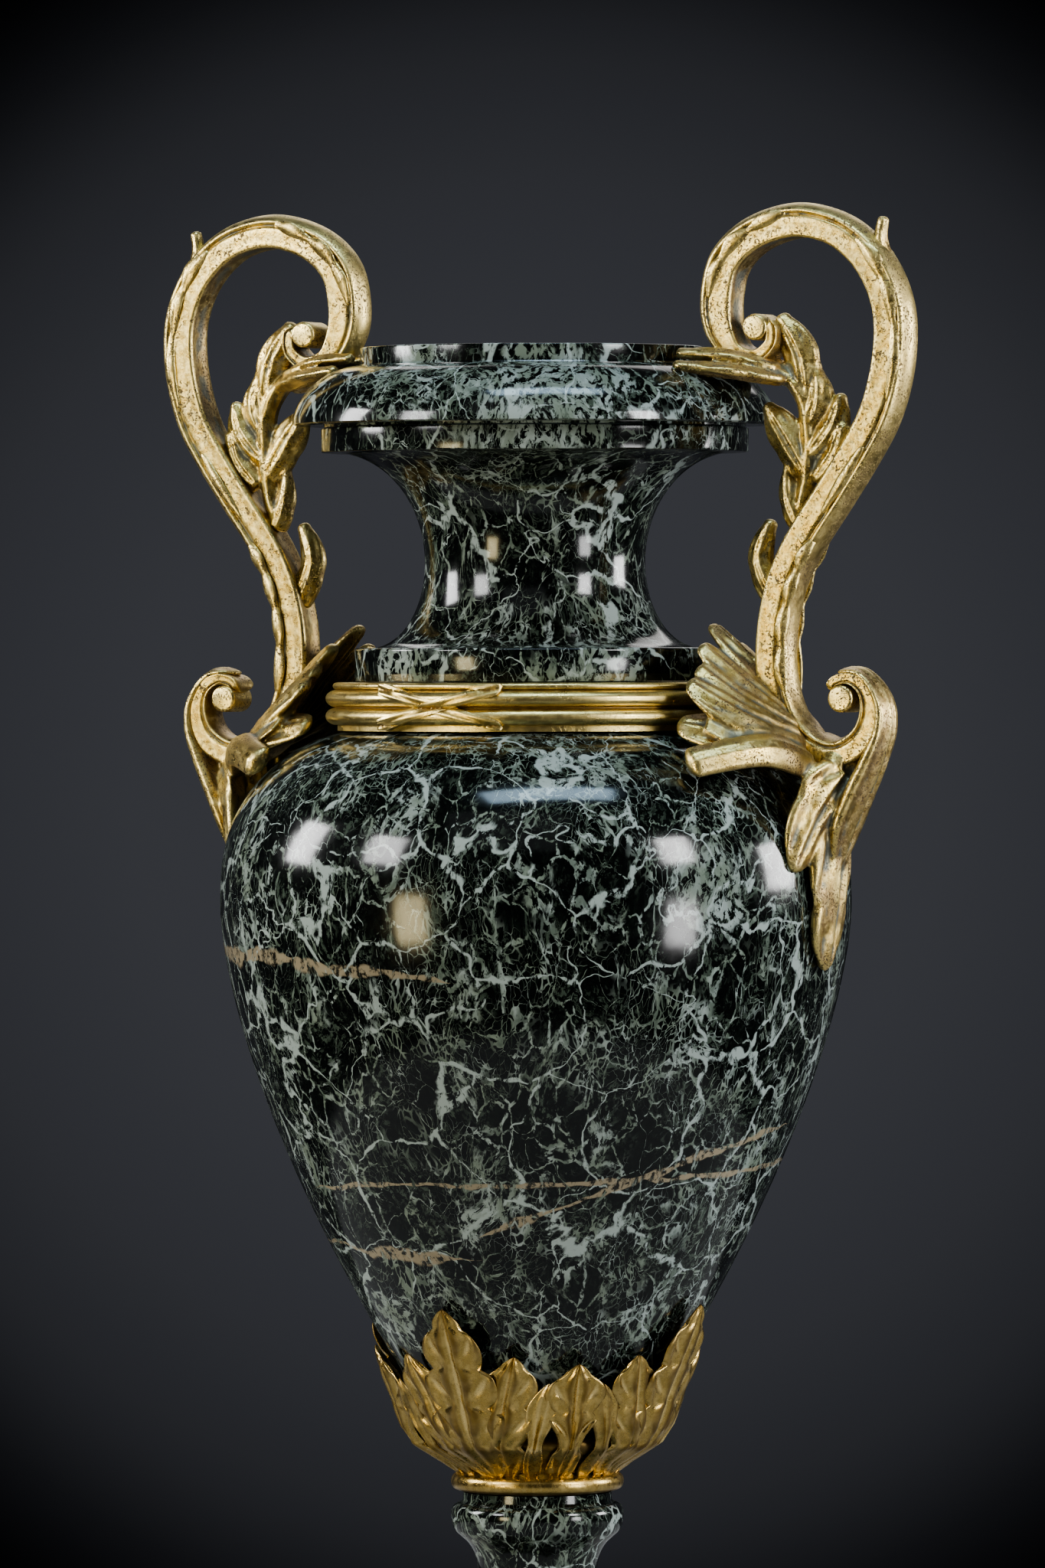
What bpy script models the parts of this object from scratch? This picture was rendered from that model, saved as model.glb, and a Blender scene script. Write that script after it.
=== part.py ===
"""A two-handled mantel urn of dark green veined marble with gilt bronze mounts.

The axis of the urn is Z, it stands on z = 0, and its two handles lie along X.
All turned pieces share one axis and one count of facets, so touching pieces keep an even gap.
"""

import math
from typing import NamedTuple

import bmesh
import bpy
from mathutils import Matrix, Vector

MM = 0.001

# What every piece shares
FACETS = 26  # flats round a turned piece
GAP = 0.0003  # clearance between pieces that touch
EDGE = 0.0008  # small rounding of a marble edge
FLAT_ANGLE = math.radians(6)  # faces nearer in line than this are one face

# Square plinth
PLINTH_SIDE = 0.094
PLINTH_HEIGHT = 0.0200
PLINTH_BEVEL = 0.0015

# Gilt ring under the foot
FOOT_RING_RADIUS = 0.0445
FOOT_RING_HEIGHT = 0.0055

# Marble foot, stem and knop, turned in one
FOOT_RADIUS = 0.0420
FOOT_ROLL_HEIGHT = 0.0075
FOOT_STEP_RADIUS = 0.0378
FOOT_STEP_HEIGHT = 0.0022
STEM_RADIUS = 0.0163
STEM_HEIGHT = 0.0677
STEM_WAIST_HEIGHT = 0.0450  # from the foot's underside up to the narrowest ring
KNOP_RADIUS = 0.0237
KNOP_HEIGHT = 0.0086
KNOP_ROUND = 0.0024  # how far the knop's round edge runs in
KNOP_FILLET_RADIUS = 0.0204
KNOP_FILLET_HEIGHT = 0.0030

# Gilt leaf cup under the body
CUP_RING_RADIUS = 0.0237
CUP_RING_HEIGHT = 0.0052
CUP_RING_BULGE = 0.0017
CUP_FLOOR = 0.0028
CUP_TURN = math.radians(-4)  # the cup sits a little turned from the handles
WAIST_OFF = 0.0021  # how far the cup stands off the marble: above its ring,
HIP_OFF = 0.0072  # at the leaves' curled feet,
LEAF_OFF = 0.0052  # half way up
TIP_OFF = 0.0016  # and at the leaves' tips
WAIST_HEIGHT = 0.0026  # heights above the cup's ring
HIP_HEIGHT = 0.0080
EYE_HEIGHT = 0.0130
TALL_LEAF_HEIGHT = 0.0475
SIDE_LOBE_HEIGHT = 0.0345
LOW_LEAF_HEIGHT = 0.0325
LEAF_NOTCH_HEIGHT = 0.0265
CREASE_DEPTH = 0.0022  # between two leaves
EYE_DEPTH = 0.0045  # the pierced eyes beside each low leaf
EYE_TURN = 31  # degrees from a tall leaf's rib to an eye

# One eighth of the cup's leafy wall, from a tall leaf's rib to a low leaf's:
# degrees round the urn, height of the edge, and the wall's depth below the leaves' faces
CUP_PATTERN = (
    (0, TALL_LEAF_HEIGHT, 0.0),
    (6, LEAF_NOTCH_HEIGHT + 0.82 * (TALL_LEAF_HEIGHT - LEAF_NOTCH_HEIGHT), 0.2 * CREASE_DEPTH),
    (11, LEAF_NOTCH_HEIGHT + 0.48 * (TALL_LEAF_HEIGHT - LEAF_NOTCH_HEIGHT), 0.5 * CREASE_DEPTH),
    (14, LEAF_NOTCH_HEIGHT, CREASE_DEPTH),
    (21, SIDE_LOBE_HEIGHT, 0.2 * CREASE_DEPTH),
    (EYE_TURN, LEAF_NOTCH_HEIGHT, CREASE_DEPTH),
    (37, LEAF_NOTCH_HEIGHT + 0.7 * (LOW_LEAF_HEIGHT - LEAF_NOTCH_HEIGHT), 0.3 * CREASE_DEPTH),
    (45, LOW_LEAF_HEIGHT, 0.0),
)

# Marble body
BELLY_RADIUS = 0.0866
BELLY_WALL = 0.0090
BODY_BOTTOM_RADIUS = 0.0180
BODY_TAPER_HEIGHT = 0.1570  # from the body's underside up to its widest ring
BODY_TAPER_CURVE = 1.56  # 1 is a cone, 2 is a parabola
SHOULDER_HEIGHT = 0.0482  # from the widest ring up to the belt
SHOULDER_TOP_RADIUS = 0.0510
SHOULDER_CURVE = (2.7, 0.66)  # (2, 0.5) is an ellipse
BODY_FLOOR = 0.0200
COLLAR_RADIUS = 0.0450  # marble collar that carries the neck inside the belt
COLLAR_WALL = 0.0090

# Gilt reeded belt
BELT_RADIUS = 0.0576
BELT_HEIGHT = 0.0132
BELT_FILLET_RADIUS = 0.0543
BELT_FILLET_HEIGHT = 0.0015
SMALL_REED_HEIGHT = 0.0020
SMALL_REED_BULGE = 0.0013
RIBBON_WIDTH = 0.0036
RIBBON_RISE = 0.0009  # how far a ribbon stands proud of the reeds
RIBBON_HALF_TURN = math.radians(20)
BELT_TURN = math.radians(-3)  # the belt sits a little turned from the handles

# Marble neck
NECK_DISC_RADIUS = 0.0495
NECK_DISC_HEIGHT = 0.0091
NECK_FOOT_RADIUS = 0.0453  # where the lower cove meets the disc
NECK_RADIUS = 0.0302
NECK_BORE = 0.0200
NECK_LOWER_HEIGHT = 0.0233  # from the disc up to the narrowest ring
NECK_UPPER_HEIGHT = 0.0302  # from the narrowest ring up to the flange
NECK_HEAD_RADIUS = 0.0554  # where the upper cove meets the flange
FLANGE_RADIUS = 0.0586
FLANGE_HEIGHT = 0.0066

# Marble rim
RIM_RADIUS = 0.0665
RIM_ROLL_HEIGHT = 0.0162
RIM_ROLL_CURVE = (1.85, 0.56)  # (2, 0.5) is an ellipse
LIP_RADIUS = 0.0479
LIP_HEIGHT = 0.0050
MOUTH_RADIUS = 0.0400
RIM_UNDERCUT = 0.0006  # thin shadow groove between flange and rim

# Heights of the seats, stacked from the ground up
FOOT_RING_Z = PLINTH_HEIGHT + GAP
STEM_Z = FOOT_RING_Z + FOOT_RING_HEIGHT + GAP
CUP_Z = STEM_Z + STEM_HEIGHT + GAP
CUP_RING_TOP_Z = CUP_Z + CUP_RING_HEIGHT
BODY_Z = CUP_Z + CUP_FLOOR + GAP
BELLY_Z = BODY_Z + BODY_TAPER_HEIGHT
SHOULDER_Z = BELLY_Z + SHOULDER_HEIGHT
BELT_Z = SHOULDER_Z + GAP
COLLAR_TOP_Z = BELT_Z + BELT_HEIGHT
NECK_Z = COLLAR_TOP_Z + GAP
WAIST_Z = NECK_Z + NECK_DISC_HEIGHT + NECK_LOWER_HEIGHT
FLANGE_Z = WAIST_Z + NECK_UPPER_HEIGHT
RIM_Z = FLANGE_Z + FLANGE_HEIGHT + GAP
LIP_Z = RIM_Z + RIM_UNDERCUT + RIM_ROLL_HEIGHT
TOP_Z = LIP_Z + LIP_HEIGHT
TRIM_GAP = 1.2 * GAP  # clearance of a handle, whose leaves lie on round marble
CUP_GAP = 2 * GAP  # clearance of the cup's wall, which has more flats than the marble

# Handle: the pattern is drawn in its own plane in millimetres, out from the urn's axis and up.
# It was drawn between these two seats, and is stretched to wherever the urn's own seats are.
DRAWN_FOOT = (86.6, 254.1)
DRAWN_RIM = (66.5, 386.3)
STRAP_WIDTH = 0.0104
STRAP_CROWN = 0.26  # share of the strap's thickness that its rounded outer face takes
EYE_WIDTH = 0.0110  # length of a scroll's round eye, across the handle

UPPER_EYE = (68.8, 412.0, 3.6)  # out, up, radius
LOWER_EYE = (94.0, 311.3, 3.7)
VOLUTE_START = 400.0  # degrees round the upper eye, where the strap begins
VOLUTE_END = 180.0
VOLUTE_REACH = 11.8  # centre line's distance from the eye at VOLUTE_END
VOLUTE_PITCH = 0.0383  # how much nearer it comes for each degree
VOLUTE_THICKNESS = (3.4, 4.0, 4.2, 4.8, 7.0, 9.5)

# Centre line of the strap after the volute: out, up, thickness
STRAP_LINE = (
    (56.2, 420.4, 10.2),
    (58.8, 430.2, 10.2),
    (66.8, 437.4, 9.8),
    (79.0, 440.9, 9.5),
    (90.6, 438.9, 9.3),
    (99.0, 433.5, 9.6),
    (104.9, 426.0, 9.9),
    (108.3, 417.0, 10.2),
    (108.9, 408.0, 10.3),
    (107.5, 397.7, 10.4),
    (104.1, 387.2, 10.3),
    (98.4, 377.3, 10.2),
    (91.0, 366.3, 10.1),
    (84.6, 357.3, 10.0),
    (79.9, 349.8, 9.8),
    (76.5, 342.2, 9.6),
    (74.3, 333.7, 9.6),
    (73.4, 325.2, 9.6),
    (73.8, 317.0, 9.7),
    (75.8, 309.3, 9.5),
    (79.6, 302.8, 8.9),
    (85.0, 298.4, 8.3),
    (90.8, 296.8, 8.1),
)
# The small lower scroll that the strap ends in
LOWER_SCROLL = (
    (96.2, 298.4, 8.3),
    (100.4, 302.5, 8.0),
    (101.9, 308.2, 7.0),
    (100.5, 313.5, 5.2),
    (96.4, 316.4, 3.8),
    (92.0, 315.7, 3.5),
    (90.6, 313.0, 3.2),
)


def material(name, colour, roughness, metallic):
    """One Principled material."""
    made = bpy.data.materials.new(name)
    made.use_nodes = True
    shader = made.node_tree.nodes["Principled BSDF"]
    shader.inputs["Base Color"].default_value = (*colour, 1.0)
    shader.inputs["Roughness"].default_value = roughness
    shader.inputs["Metallic"].default_value = metallic
    return made


def add_object(name, mesh, finish):
    """Links a mesh as a named piece, shaded smooth up to its real edges."""
    mesh.materials.clear()
    mesh.materials.append(finish)
    mesh.shade_smooth()
    mesh.set_sharp_from_angle(angle=math.radians(32))
    piece = bpy.data.objects.new(name, mesh)
    bpy.context.scene.collection.objects.link(piece)
    return piece


def to_mesh(bm, name):
    """Closes a bmesh's work: merges doubles, turns faces outwards and stores it."""
    bmesh.ops.remove_doubles(bm, verts=bm.verts, dist=1e-6)
    bmesh.ops.recalc_face_normals(bm, faces=bm.faces)
    mesh = bpy.data.meshes.new(name)
    bm.to_mesh(mesh)
    bm.free()
    return mesh


# Outlines of turned pieces: lists of (radius, height)


def arc(centre, radii, start, end, steps):
    """Points on an ellipse's arc, from start to end degrees."""
    points = []
    for i in range(steps + 1):
        a = math.radians(start + (end - start) * i / steps)
        points.append((centre[0] + radii[0] * math.cos(a), centre[1] + radii[1] * math.sin(a)))
    return points


def turned(outline, closed):
    """The outline spun once round Z. A closed one makes a ring, an open one starts and ends on the axis."""
    bm = bmesh.new()
    points = [bm.verts.new((r, 0.0, z)) for r, z in outline]
    pairs = list(zip(points, points[1:]))
    if closed:
        pairs.append((points[-1], points[0]))
    edges = [bm.edges.new(pair) for pair in pairs]
    bmesh.ops.spin(
        bm,
        geom=points + edges,
        cent=(0, 0, 0),
        axis=(0, 0, 1),
        dvec=(0, 0, 0),
        angle=2 * math.pi,
        steps=FACETS,
        use_merge=True,
    )
    return bm


def belly_radius(z):
    """Outer radius of the marble body at height z, between its underside and the belt."""
    if z >= BELLY_Z:
        up = min(1.0, (z - BELLY_Z) / SHOULDER_HEIGHT)
        swell = (1 - up ** SHOULDER_CURVE[0]) ** SHOULDER_CURVE[1]
        return SHOULDER_TOP_RADIUS + (BELLY_RADIUS - SHOULDER_TOP_RADIUS) * swell
    down = min(1.0, (BELLY_Z - z) / BODY_TAPER_HEIGHT)
    return BODY_BOTTOM_RADIUS + (BELLY_RADIUS - BODY_BOTTOM_RADIUS) * (1 - down**BODY_TAPER_CURVE)


def body_outer():
    """The body's outer outline, from its underside up to the belt."""
    taper = [BODY_Z + BODY_TAPER_HEIGHT * share for share in (0, 0.06, 0.2, 0.36, 0.52, 0.68, 0.84, 1)]
    shoulder = [BELLY_Z + SHOULDER_HEIGHT * share for share in (0.25, 0.47, 0.66, 0.8, 0.9, 0.97)]
    points = [(belly_radius(z), z) for z in taper + shoulder]
    return points + [(SHOULDER_TOP_RADIUS, SHOULDER_Z)]


def body_outline():
    """Body: outside, collar and hollow inside."""
    outer = [(0, BODY_Z)] + body_outer()
    collar = [(COLLAR_RADIUS, SHOULDER_Z), (COLLAR_RADIUS, COLLAR_TOP_Z)]
    mouth = COLLAR_RADIUS - COLLAR_WALL
    inner = [(mouth, COLLAR_TOP_Z), (mouth, SHOULDER_Z - BELLY_WALL / 2)]
    floor = BODY_Z + BODY_FLOOR
    low = BELLY_Z - floor
    for share in (0.55, 0.1):
        z = BELLY_Z + SHOULDER_HEIGHT * share
        inner.append((belly_radius(z) - BELLY_WALL, z))
    for share in (0.3, 0.62, 0.9):
        z = BELLY_Z - low * share
        inner.append((belly_radius(z) - BELLY_WALL, z))
    return outer + collar + inner + [(0, floor)]


def neck_outline():
    """Neck: foot disc, waist and flange, round one bore."""
    disc_top = NECK_Z + NECK_DISC_HEIGHT
    top = FLANGE_Z + FLANGE_HEIGHT
    outer = [
        (NECK_DISC_RADIUS, NECK_Z),
        (NECK_DISC_RADIUS, disc_top - EDGE),
        (NECK_DISC_RADIUS - EDGE, disc_top),
    ]
    lower = (NECK_FOOT_RADIUS - NECK_RADIUS, NECK_LOWER_HEIGHT)
    upper = (NECK_HEAD_RADIUS - NECK_RADIUS, NECK_UPPER_HEIGHT)
    outer += arc((NECK_FOOT_RADIUS, WAIST_Z), lower, 270, 180, 4)
    outer += arc((NECK_HEAD_RADIUS, WAIST_Z), upper, 180, 90, 6)[1:]
    outer += [(FLANGE_RADIUS, FLANGE_Z), (FLANGE_RADIUS, top)]
    inner = arc((MOUTH_RADIUS, WAIST_Z), (MOUTH_RADIUS - NECK_BORE, top - WAIST_Z), 90, 180, 3)
    return outer + inner + [(NECK_BORE, NECK_Z)]


def rim_outer():
    """The rim's outside: undercut, roll and lip."""
    bottom = RIM_Z + RIM_UNDERCUT
    roll_foot = LIP_RADIUS + EDGE
    points = [(FLANGE_RADIUS - EDGE, RIM_Z), (FLANGE_RADIUS - EDGE, bottom), (RIM_RADIUS, bottom)]
    for share in (0.16, 0.42, 0.64, 0.82, 0.94, 1.0):
        up = RIM_ROLL_HEIGHT * share
        out = (1 - share ** RIM_ROLL_CURVE[0]) ** RIM_ROLL_CURVE[1]
        points.append((roll_foot + (RIM_RADIUS - roll_foot) * out, bottom + up))
    return points + [(LIP_RADIUS, LIP_Z), (LIP_RADIUS, TOP_Z - EDGE), (LIP_RADIUS - EDGE, TOP_Z)]


def stem_outline():
    """Foot, stem and knop, turned in one from the foot ring up to the cup."""
    top = STEM_Z + STEM_HEIGHT
    knop_top = top - KNOP_FILLET_HEIGHT
    knop_foot = knop_top - KNOP_HEIGHT
    knop_z = knop_foot + KNOP_HEIGHT * 2 / 3
    knop_in = KNOP_RADIUS - KNOP_ROUND
    roll = FOOT_ROLL_HEIGHT / 2
    roll_top = STEM_Z + FOOT_ROLL_HEIGHT
    step_top = roll_top + FOOT_STEP_HEIGHT
    waist = STEM_Z + STEM_WAIST_HEIGHT
    points = [(0, STEM_Z), (FOOT_RADIUS - 2 * EDGE, STEM_Z)]
    points += arc((FOOT_RADIUS - 2 * EDGE, STEM_Z + roll), (2 * EDGE, roll), -60, 90, 3)
    points += [(FOOT_STEP_RADIUS, roll_top), (FOOT_STEP_RADIUS, step_top)]
    points += arc((FOOT_STEP_RADIUS, waist), (FOOT_STEP_RADIUS - STEM_RADIUS, waist - step_top), 262, 180, 4)
    points += arc((KNOP_RADIUS, waist), (KNOP_RADIUS - STEM_RADIUS, knop_foot - waist), 180, 130, 2)[1:]
    points += arc((knop_in, knop_z), (KNOP_ROUND, knop_z - knop_foot), -60, 0, 1)
    points += arc((knop_in, knop_z), (KNOP_ROUND, knop_top - knop_z), 30, 90, 2)
    return points + [(KNOP_FILLET_RADIUS, knop_top + EDGE), (KNOP_FILLET_RADIUS, top), (0, top)]


def belt_outline():
    """Belt: a small reed, two full reeds and a fillet, round the marble collar."""
    inner = COLLAR_RADIUS + GAP
    reed = (BELT_HEIGHT - BELT_FILLET_HEIGHT - SMALL_REED_HEIGHT) / 2
    foot = BELT_Z + BELT_FILLET_HEIGHT
    points = [(inner, BELT_Z), (BELT_FILLET_RADIUS, BELT_Z), (BELT_FILLET_RADIUS, foot)]
    for i in range(2):
        middle = foot + reed * (i + 0.5)
        points += arc((BELT_FILLET_RADIUS, middle), (BELT_RADIUS - BELT_FILLET_RADIUS, reed / 2), -60, 60, 2)
    top = BELT_Z + BELT_HEIGHT
    small = SMALL_REED_HEIGHT / 2
    points += arc((BELT_FILLET_RADIUS, top - small), (SMALL_REED_BULGE, small), -60, 90, 2)
    return points + [(inner, top)]


def foot_ring_outline():
    """Gilt ring with one round moulding, solid under the foot."""
    middle = FOOT_RING_Z + FOOT_RING_HEIGHT / 2
    bulge = FOOT_RING_HEIGHT / 2
    points = [(0, FOOT_RING_Z)]
    points += arc((FOOT_RING_RADIUS - bulge, middle), (bulge, bulge), -90, 90, 4)
    return points + [(0, FOOT_RING_Z + FOOT_RING_HEIGHT)]


def offset(points, distance):
    """An outline moved outwards by a distance, mitred at its corners."""
    moved = []
    for i, point in enumerate(points):
        before = Vector(points[max(0, i - 1)])
        after = Vector(points[min(len(points) - 1, i + 1)])
        here = Vector(point)
        sides = [side.normalized() for side in (here - before, after - here) if side.length > 1e-9]
        normals = [Vector((side.y, -side.x)) for side in sides]
        total = sum(normals, Vector((0, 0)))
        normal = total.normalized() if total.length > 1e-6 else normals[0]
        lean = max(0.45, normal.dot(normals[0]))
        moved.append(tuple(here + normal * (distance / lean)))
    return moved


def envelope_outline():
    """The outside of everything that a handle touches, with the clearance added."""
    disc = NECK_Z + NECK_DISC_HEIGHT
    stack = body_outer()[2:]
    stack += [(BELT_RADIUS, SHOULDER_Z), (BELT_RADIUS, COLLAR_TOP_Z), (NECK_DISC_RADIUS, COLLAR_TOP_Z)]
    stack += [(NECK_DISC_RADIUS, disc), (NECK_RADIUS, disc), (NECK_RADIUS, FLANGE_Z)]
    stack += [(FLANGE_RADIUS, FLANGE_Z)] + rim_outer() + [(0, TOP_Z)]
    moved = offset(stack, TRIM_GAP)
    return [(0, moved[0][1])] + moved[:-1] + [(0, moved[-1][1])]


# Gilt leaf cup


def cup_columns():
    """The cup's pattern repeated round the urn: (angle, edge height, crease depth, is an eye)."""
    quarter = [*CUP_PATTERN, *((90 - turn, edge, crease) for turn, edge, crease in CUP_PATTERN[-2:0:-1])]
    columns = []
    for corner in range(4):
        for turn, edge, crease in quarter:
            angle = math.radians(corner * 90 + turn) + CUP_TURN
            columns.append((angle, edge, crease, min(turn, 90 - turn) == EYE_TURN))
    return columns


def cup_line(edge, crease, eye):
    """Outline of the cup at one angle, from its underside out, over the leaf's edge and back inside."""
    half_ring = CUP_RING_HEIGHT / 2
    ring_in = CUP_RING_RADIUS - CUP_RING_BULGE
    line = [(ring_in - CUP_RING_BULGE, CUP_Z)]
    line += arc((ring_in, CUP_Z + half_ring), (CUP_RING_BULGE, half_ring), -66, 66, 2)
    middle = (EYE_HEIGHT + edge) / 2
    levels = (
        (WAIST_HEIGHT, WAIST_OFF),
        (HIP_HEIGHT, HIP_OFF - crease * 0.5),
        (EYE_HEIGHT, HIP_OFF - crease - (EYE_DEPTH if eye else 0.0)),
        (middle, LEAF_OFF - crease),
        (edge, TIP_OFF + LEAF_OFF * (1 - edge / TALL_LEAF_HEIGHT)),
    )
    line += [(belly_radius(CUP_RING_TOP_Z + up) + CUP_GAP + off, CUP_RING_TOP_Z + up) for up, off in levels]
    inside = (edge, middle, EYE_HEIGHT, CUP_FLOOR + GAP - CUP_RING_HEIGHT)
    line += [(belly_radius(CUP_RING_TOP_Z + up) + CUP_GAP, CUP_RING_TOP_Z + up) for up in inside]
    return line


def cup_mesh():
    """Cup: a solid ring and floor, and a leafy wall that follows the marble."""
    bm = bmesh.new()
    columns = []
    for angle, edge, crease, eye in cup_columns():
        turn = Matrix.Rotation(angle, 3, "Z")
        columns.append([bm.verts.new(turn @ Vector((r, 0, z))) for r, z in cup_line(edge, crease, eye)])
    for i, column in enumerate(columns):
        beside = columns[(i + 1) % len(columns)]
        for j in range(len(column) - 1):
            bm.faces.new((column[j], beside[j], beside[j + 1], column[j + 1]))
    bm.faces.new([column[0] for column in reversed(columns)])
    bm.faces.new([column[-1] for column in columns])
    bmesh.ops.triangulate(bm, faces=bm.faces)
    return to_mesh(bm, "leaf_cup")


# Sweeps: the strap and every leaf of a handle


def placed(out, up, side=0.0):
    """A point of the handle's drawing in metres, stretched between the urn's own seats."""
    foot = (BELLY_RADIUS, BELLY_Z)
    rim = (RIM_RADIUS, RIM_Z + RIM_UNDERCUT)
    drawn_rise = DRAWN_RIM[1] - DRAWN_FOOT[1]
    share = (up - DRAWN_FOOT[1]) / drawn_rise
    drawn_lean = (DRAWN_RIM[0] - DRAWN_FOOT[0]) * MM * share
    lean = (rim[0] - foot[0]) * share
    x = foot[0] + (out - DRAWN_FOOT[0]) * MM + lean - drawn_lean
    return Vector((x, side * MM, foot[1] + (rim[1] - foot[1]) * share))


def swept(sections, name):
    """A closed tube through a row of equal rings of points."""
    bm = bmesh.new()
    rings = [[bm.verts.new(point) for point in ring] for ring in sections]
    count = len(rings[0])
    for ring, following in zip(rings, rings[1:]):
        for j in range(count):
            k = (j + 1) % count
            bm.faces.new((ring[j], ring[k], following[k], following[j]))
    bm.faces.new(rings[0])
    bm.faces.new(list(reversed(rings[-1])))
    return to_mesh(bm, name)


def strap_points():
    """Centre line of the strap as (out, up, thickness, crown), from eye to eye."""
    spiral = []
    turns = len(VOLUTE_THICKNESS) - 1
    for i, thickness in enumerate(VOLUTE_THICKNESS):
        degrees = VOLUTE_START + (VOLUTE_END - VOLUTE_START) * i / turns
        reach = VOLUTE_REACH - VOLUTE_PITCH * (degrees - VOLUTE_END)
        a = math.radians(degrees)
        out = UPPER_EYE[0] + reach * math.cos(a)
        up = UPPER_EYE[1] + reach * math.sin(a)
        spiral.append((out, up, thickness, i / turns))
    middle = [(*point, 1.0) for point in STRAP_LINE]
    scroll = [(*point, 0.0) for point in LOWER_SCROLL]
    return spiral + middle + scroll


def strap_mesh():
    """The strap: flat sides, flat inner face and a crowned outer face."""
    line = strap_points()
    centres = [placed(out, up) for out, up, _, _ in line]
    half = STRAP_WIDTH / 2
    sections = []
    for i, (_, _, thickness, crown) in enumerate(line):
        ahead = (centres[min(i + 1, len(centres) - 1)] - centres[max(i - 1, 0)]).normalized()
        outward = Vector((-ahead.z, 0, ahead.x))
        deep = thickness * MM / 2
        shoulder = deep * (1 - 2 * STRAP_CROWN * max(0.3, crown))
        narrow = half * (1 - 0.5 * max(0.2, crown))
        ring = ((-deep, -half * 0.92), (-deep, half * 0.92), (shoulder, half))
        ring += ((deep, narrow), (deep, -narrow), (shoulder, -half))
        sections.append([centres[i] + outward * n + Vector((0, s, 0)) for n, s in ring])
    return swept(sections, "strap")


class Leaf(NamedTuple):
    """A leaf of the handle, in the drawing's millimetres."""

    spine: list  # points (out, side, up) from root to tip
    widths: tuple  # half the leaf's width at each point
    depths: tuple  # its thickness at each point
    facing: tuple  # the way that its ridge looks
    flat_back: bool = True  # or ridged on both faces


def leaf_mesh(leaf):
    """A leaf with a raised rib, swept along its spine."""
    centres = [placed(out, up, side) for out, side, up in leaf.spine]
    facing = Vector(leaf.facing)
    sections = []
    for i, centre in enumerate(centres):
        ahead = (centres[min(i + 1, len(centres) - 1)] - centres[max(i - 1, 0)]).normalized()
        face = (facing - ahead * ahead.dot(facing)).normalized()
        across = ahead.cross(face) * leaf.widths[i] * MM
        deep = face * leaf.depths[i] * MM / 2
        if leaf.flat_back:
            ring = (across - deep / 2, deep, -across - deep / 2)
        else:
            ring = (across, deep, -across, -deep)
        sections.append([centre + corner for corner in ring])
    return swept(sections, "leaf")


def both_sides(leaves):
    """Each leaf, and its mirror image across the handle's plane."""
    made = []
    for leaf in leaves:
        out, side, up = leaf.facing
        mirrored = [(x, -y, z) for x, y, z in leaf.spine]
        made += [leaf, leaf._replace(spine=mirrored, facing=(out, -side, up))]
    return made


def shoulder_leaves():
    """The palm of leaves that clasps the shoulder and the belt."""
    middle = [
        Leaf([(79, 0, 304), (67.5, 0, 317), (53, 0, 331.5)], (6, 7, 2.4), (6, 5, 2.6), (0.7, 0, 0.7))
    ]
    # spine, half widths, thicknesses, facing
    sides = [
        ([(80, 3, 303), (67, 9, 315), (55.5, 12, 326)], (5, 6.4, 2.4), (5, 4.6, 2.6), (0.7, 0.2, 0.7)),
        ([(81, 4, 301), (69, 14.5, 310.5), (57.5, 18, 320)], (5, 6.6, 2.4), (5, 4.6, 2.6), (0.7, 0.3, 0.7)),
        ([(82, 5, 299), (72, 18, 306), (57.5, 24.5, 316)], (5, 6.8, 2.6), (5, 4.6, 2.8), (0.6, 0.4, 0.7)),
        ([(83, 6, 297), (74, 21, 301), (55.5, 27, 304.5)], (5, 6.8, 2.6), (5, 4.6, 2.8), (0.6, 0.5, 0.6)),
        ([(86, 7, 293), (79.5, 23, 297.5), (64.5, 40, 294)], (4.5, 5.4, 2.8), (6, 5.6, 3.6), (0.6, 0.5, 0.6)),
    ]
    return middle + both_sides([Leaf(*side) for side in sides])


def pendant_leaves():
    """The leaf that hangs from the lower scroll onto the belly, and the crown leaf on the scroll's back."""
    pendant = [(93, 0, 300), (90, 0, 287), (88.6, 0, 274), (88.4, 0, 258), (87.2, 0, 246), (86.8, 0, 237.4)]
    crown = [(91, 0, 318.4), (99, 0, 318), (104.5, 0, 311), (105, 0, 303), (101, 0, 294), (96, 0, 286)]
    lobe = Leaf([(92, 3, 288), (87.5, 12, 277), (84.6, 17.4, 264.6)], (5, 6.5, 1.2), (7, 6, 3), (1, 0.3, 0))
    return [
        Leaf(pendant, (6, 8, 12, 12.5, 8.5, 1.0), (14, 14, 10, 7.5, 6, 3.4), (1, 0, 0.1), False),
        Leaf(crown, (4.5, 5.5, 6, 6.5, 7.5, 8), (1.8, 2.4, 3, 4, 6, 7), (0.9, 0, 0.4), False),
        *both_sides([lobe]),
    ]


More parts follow.
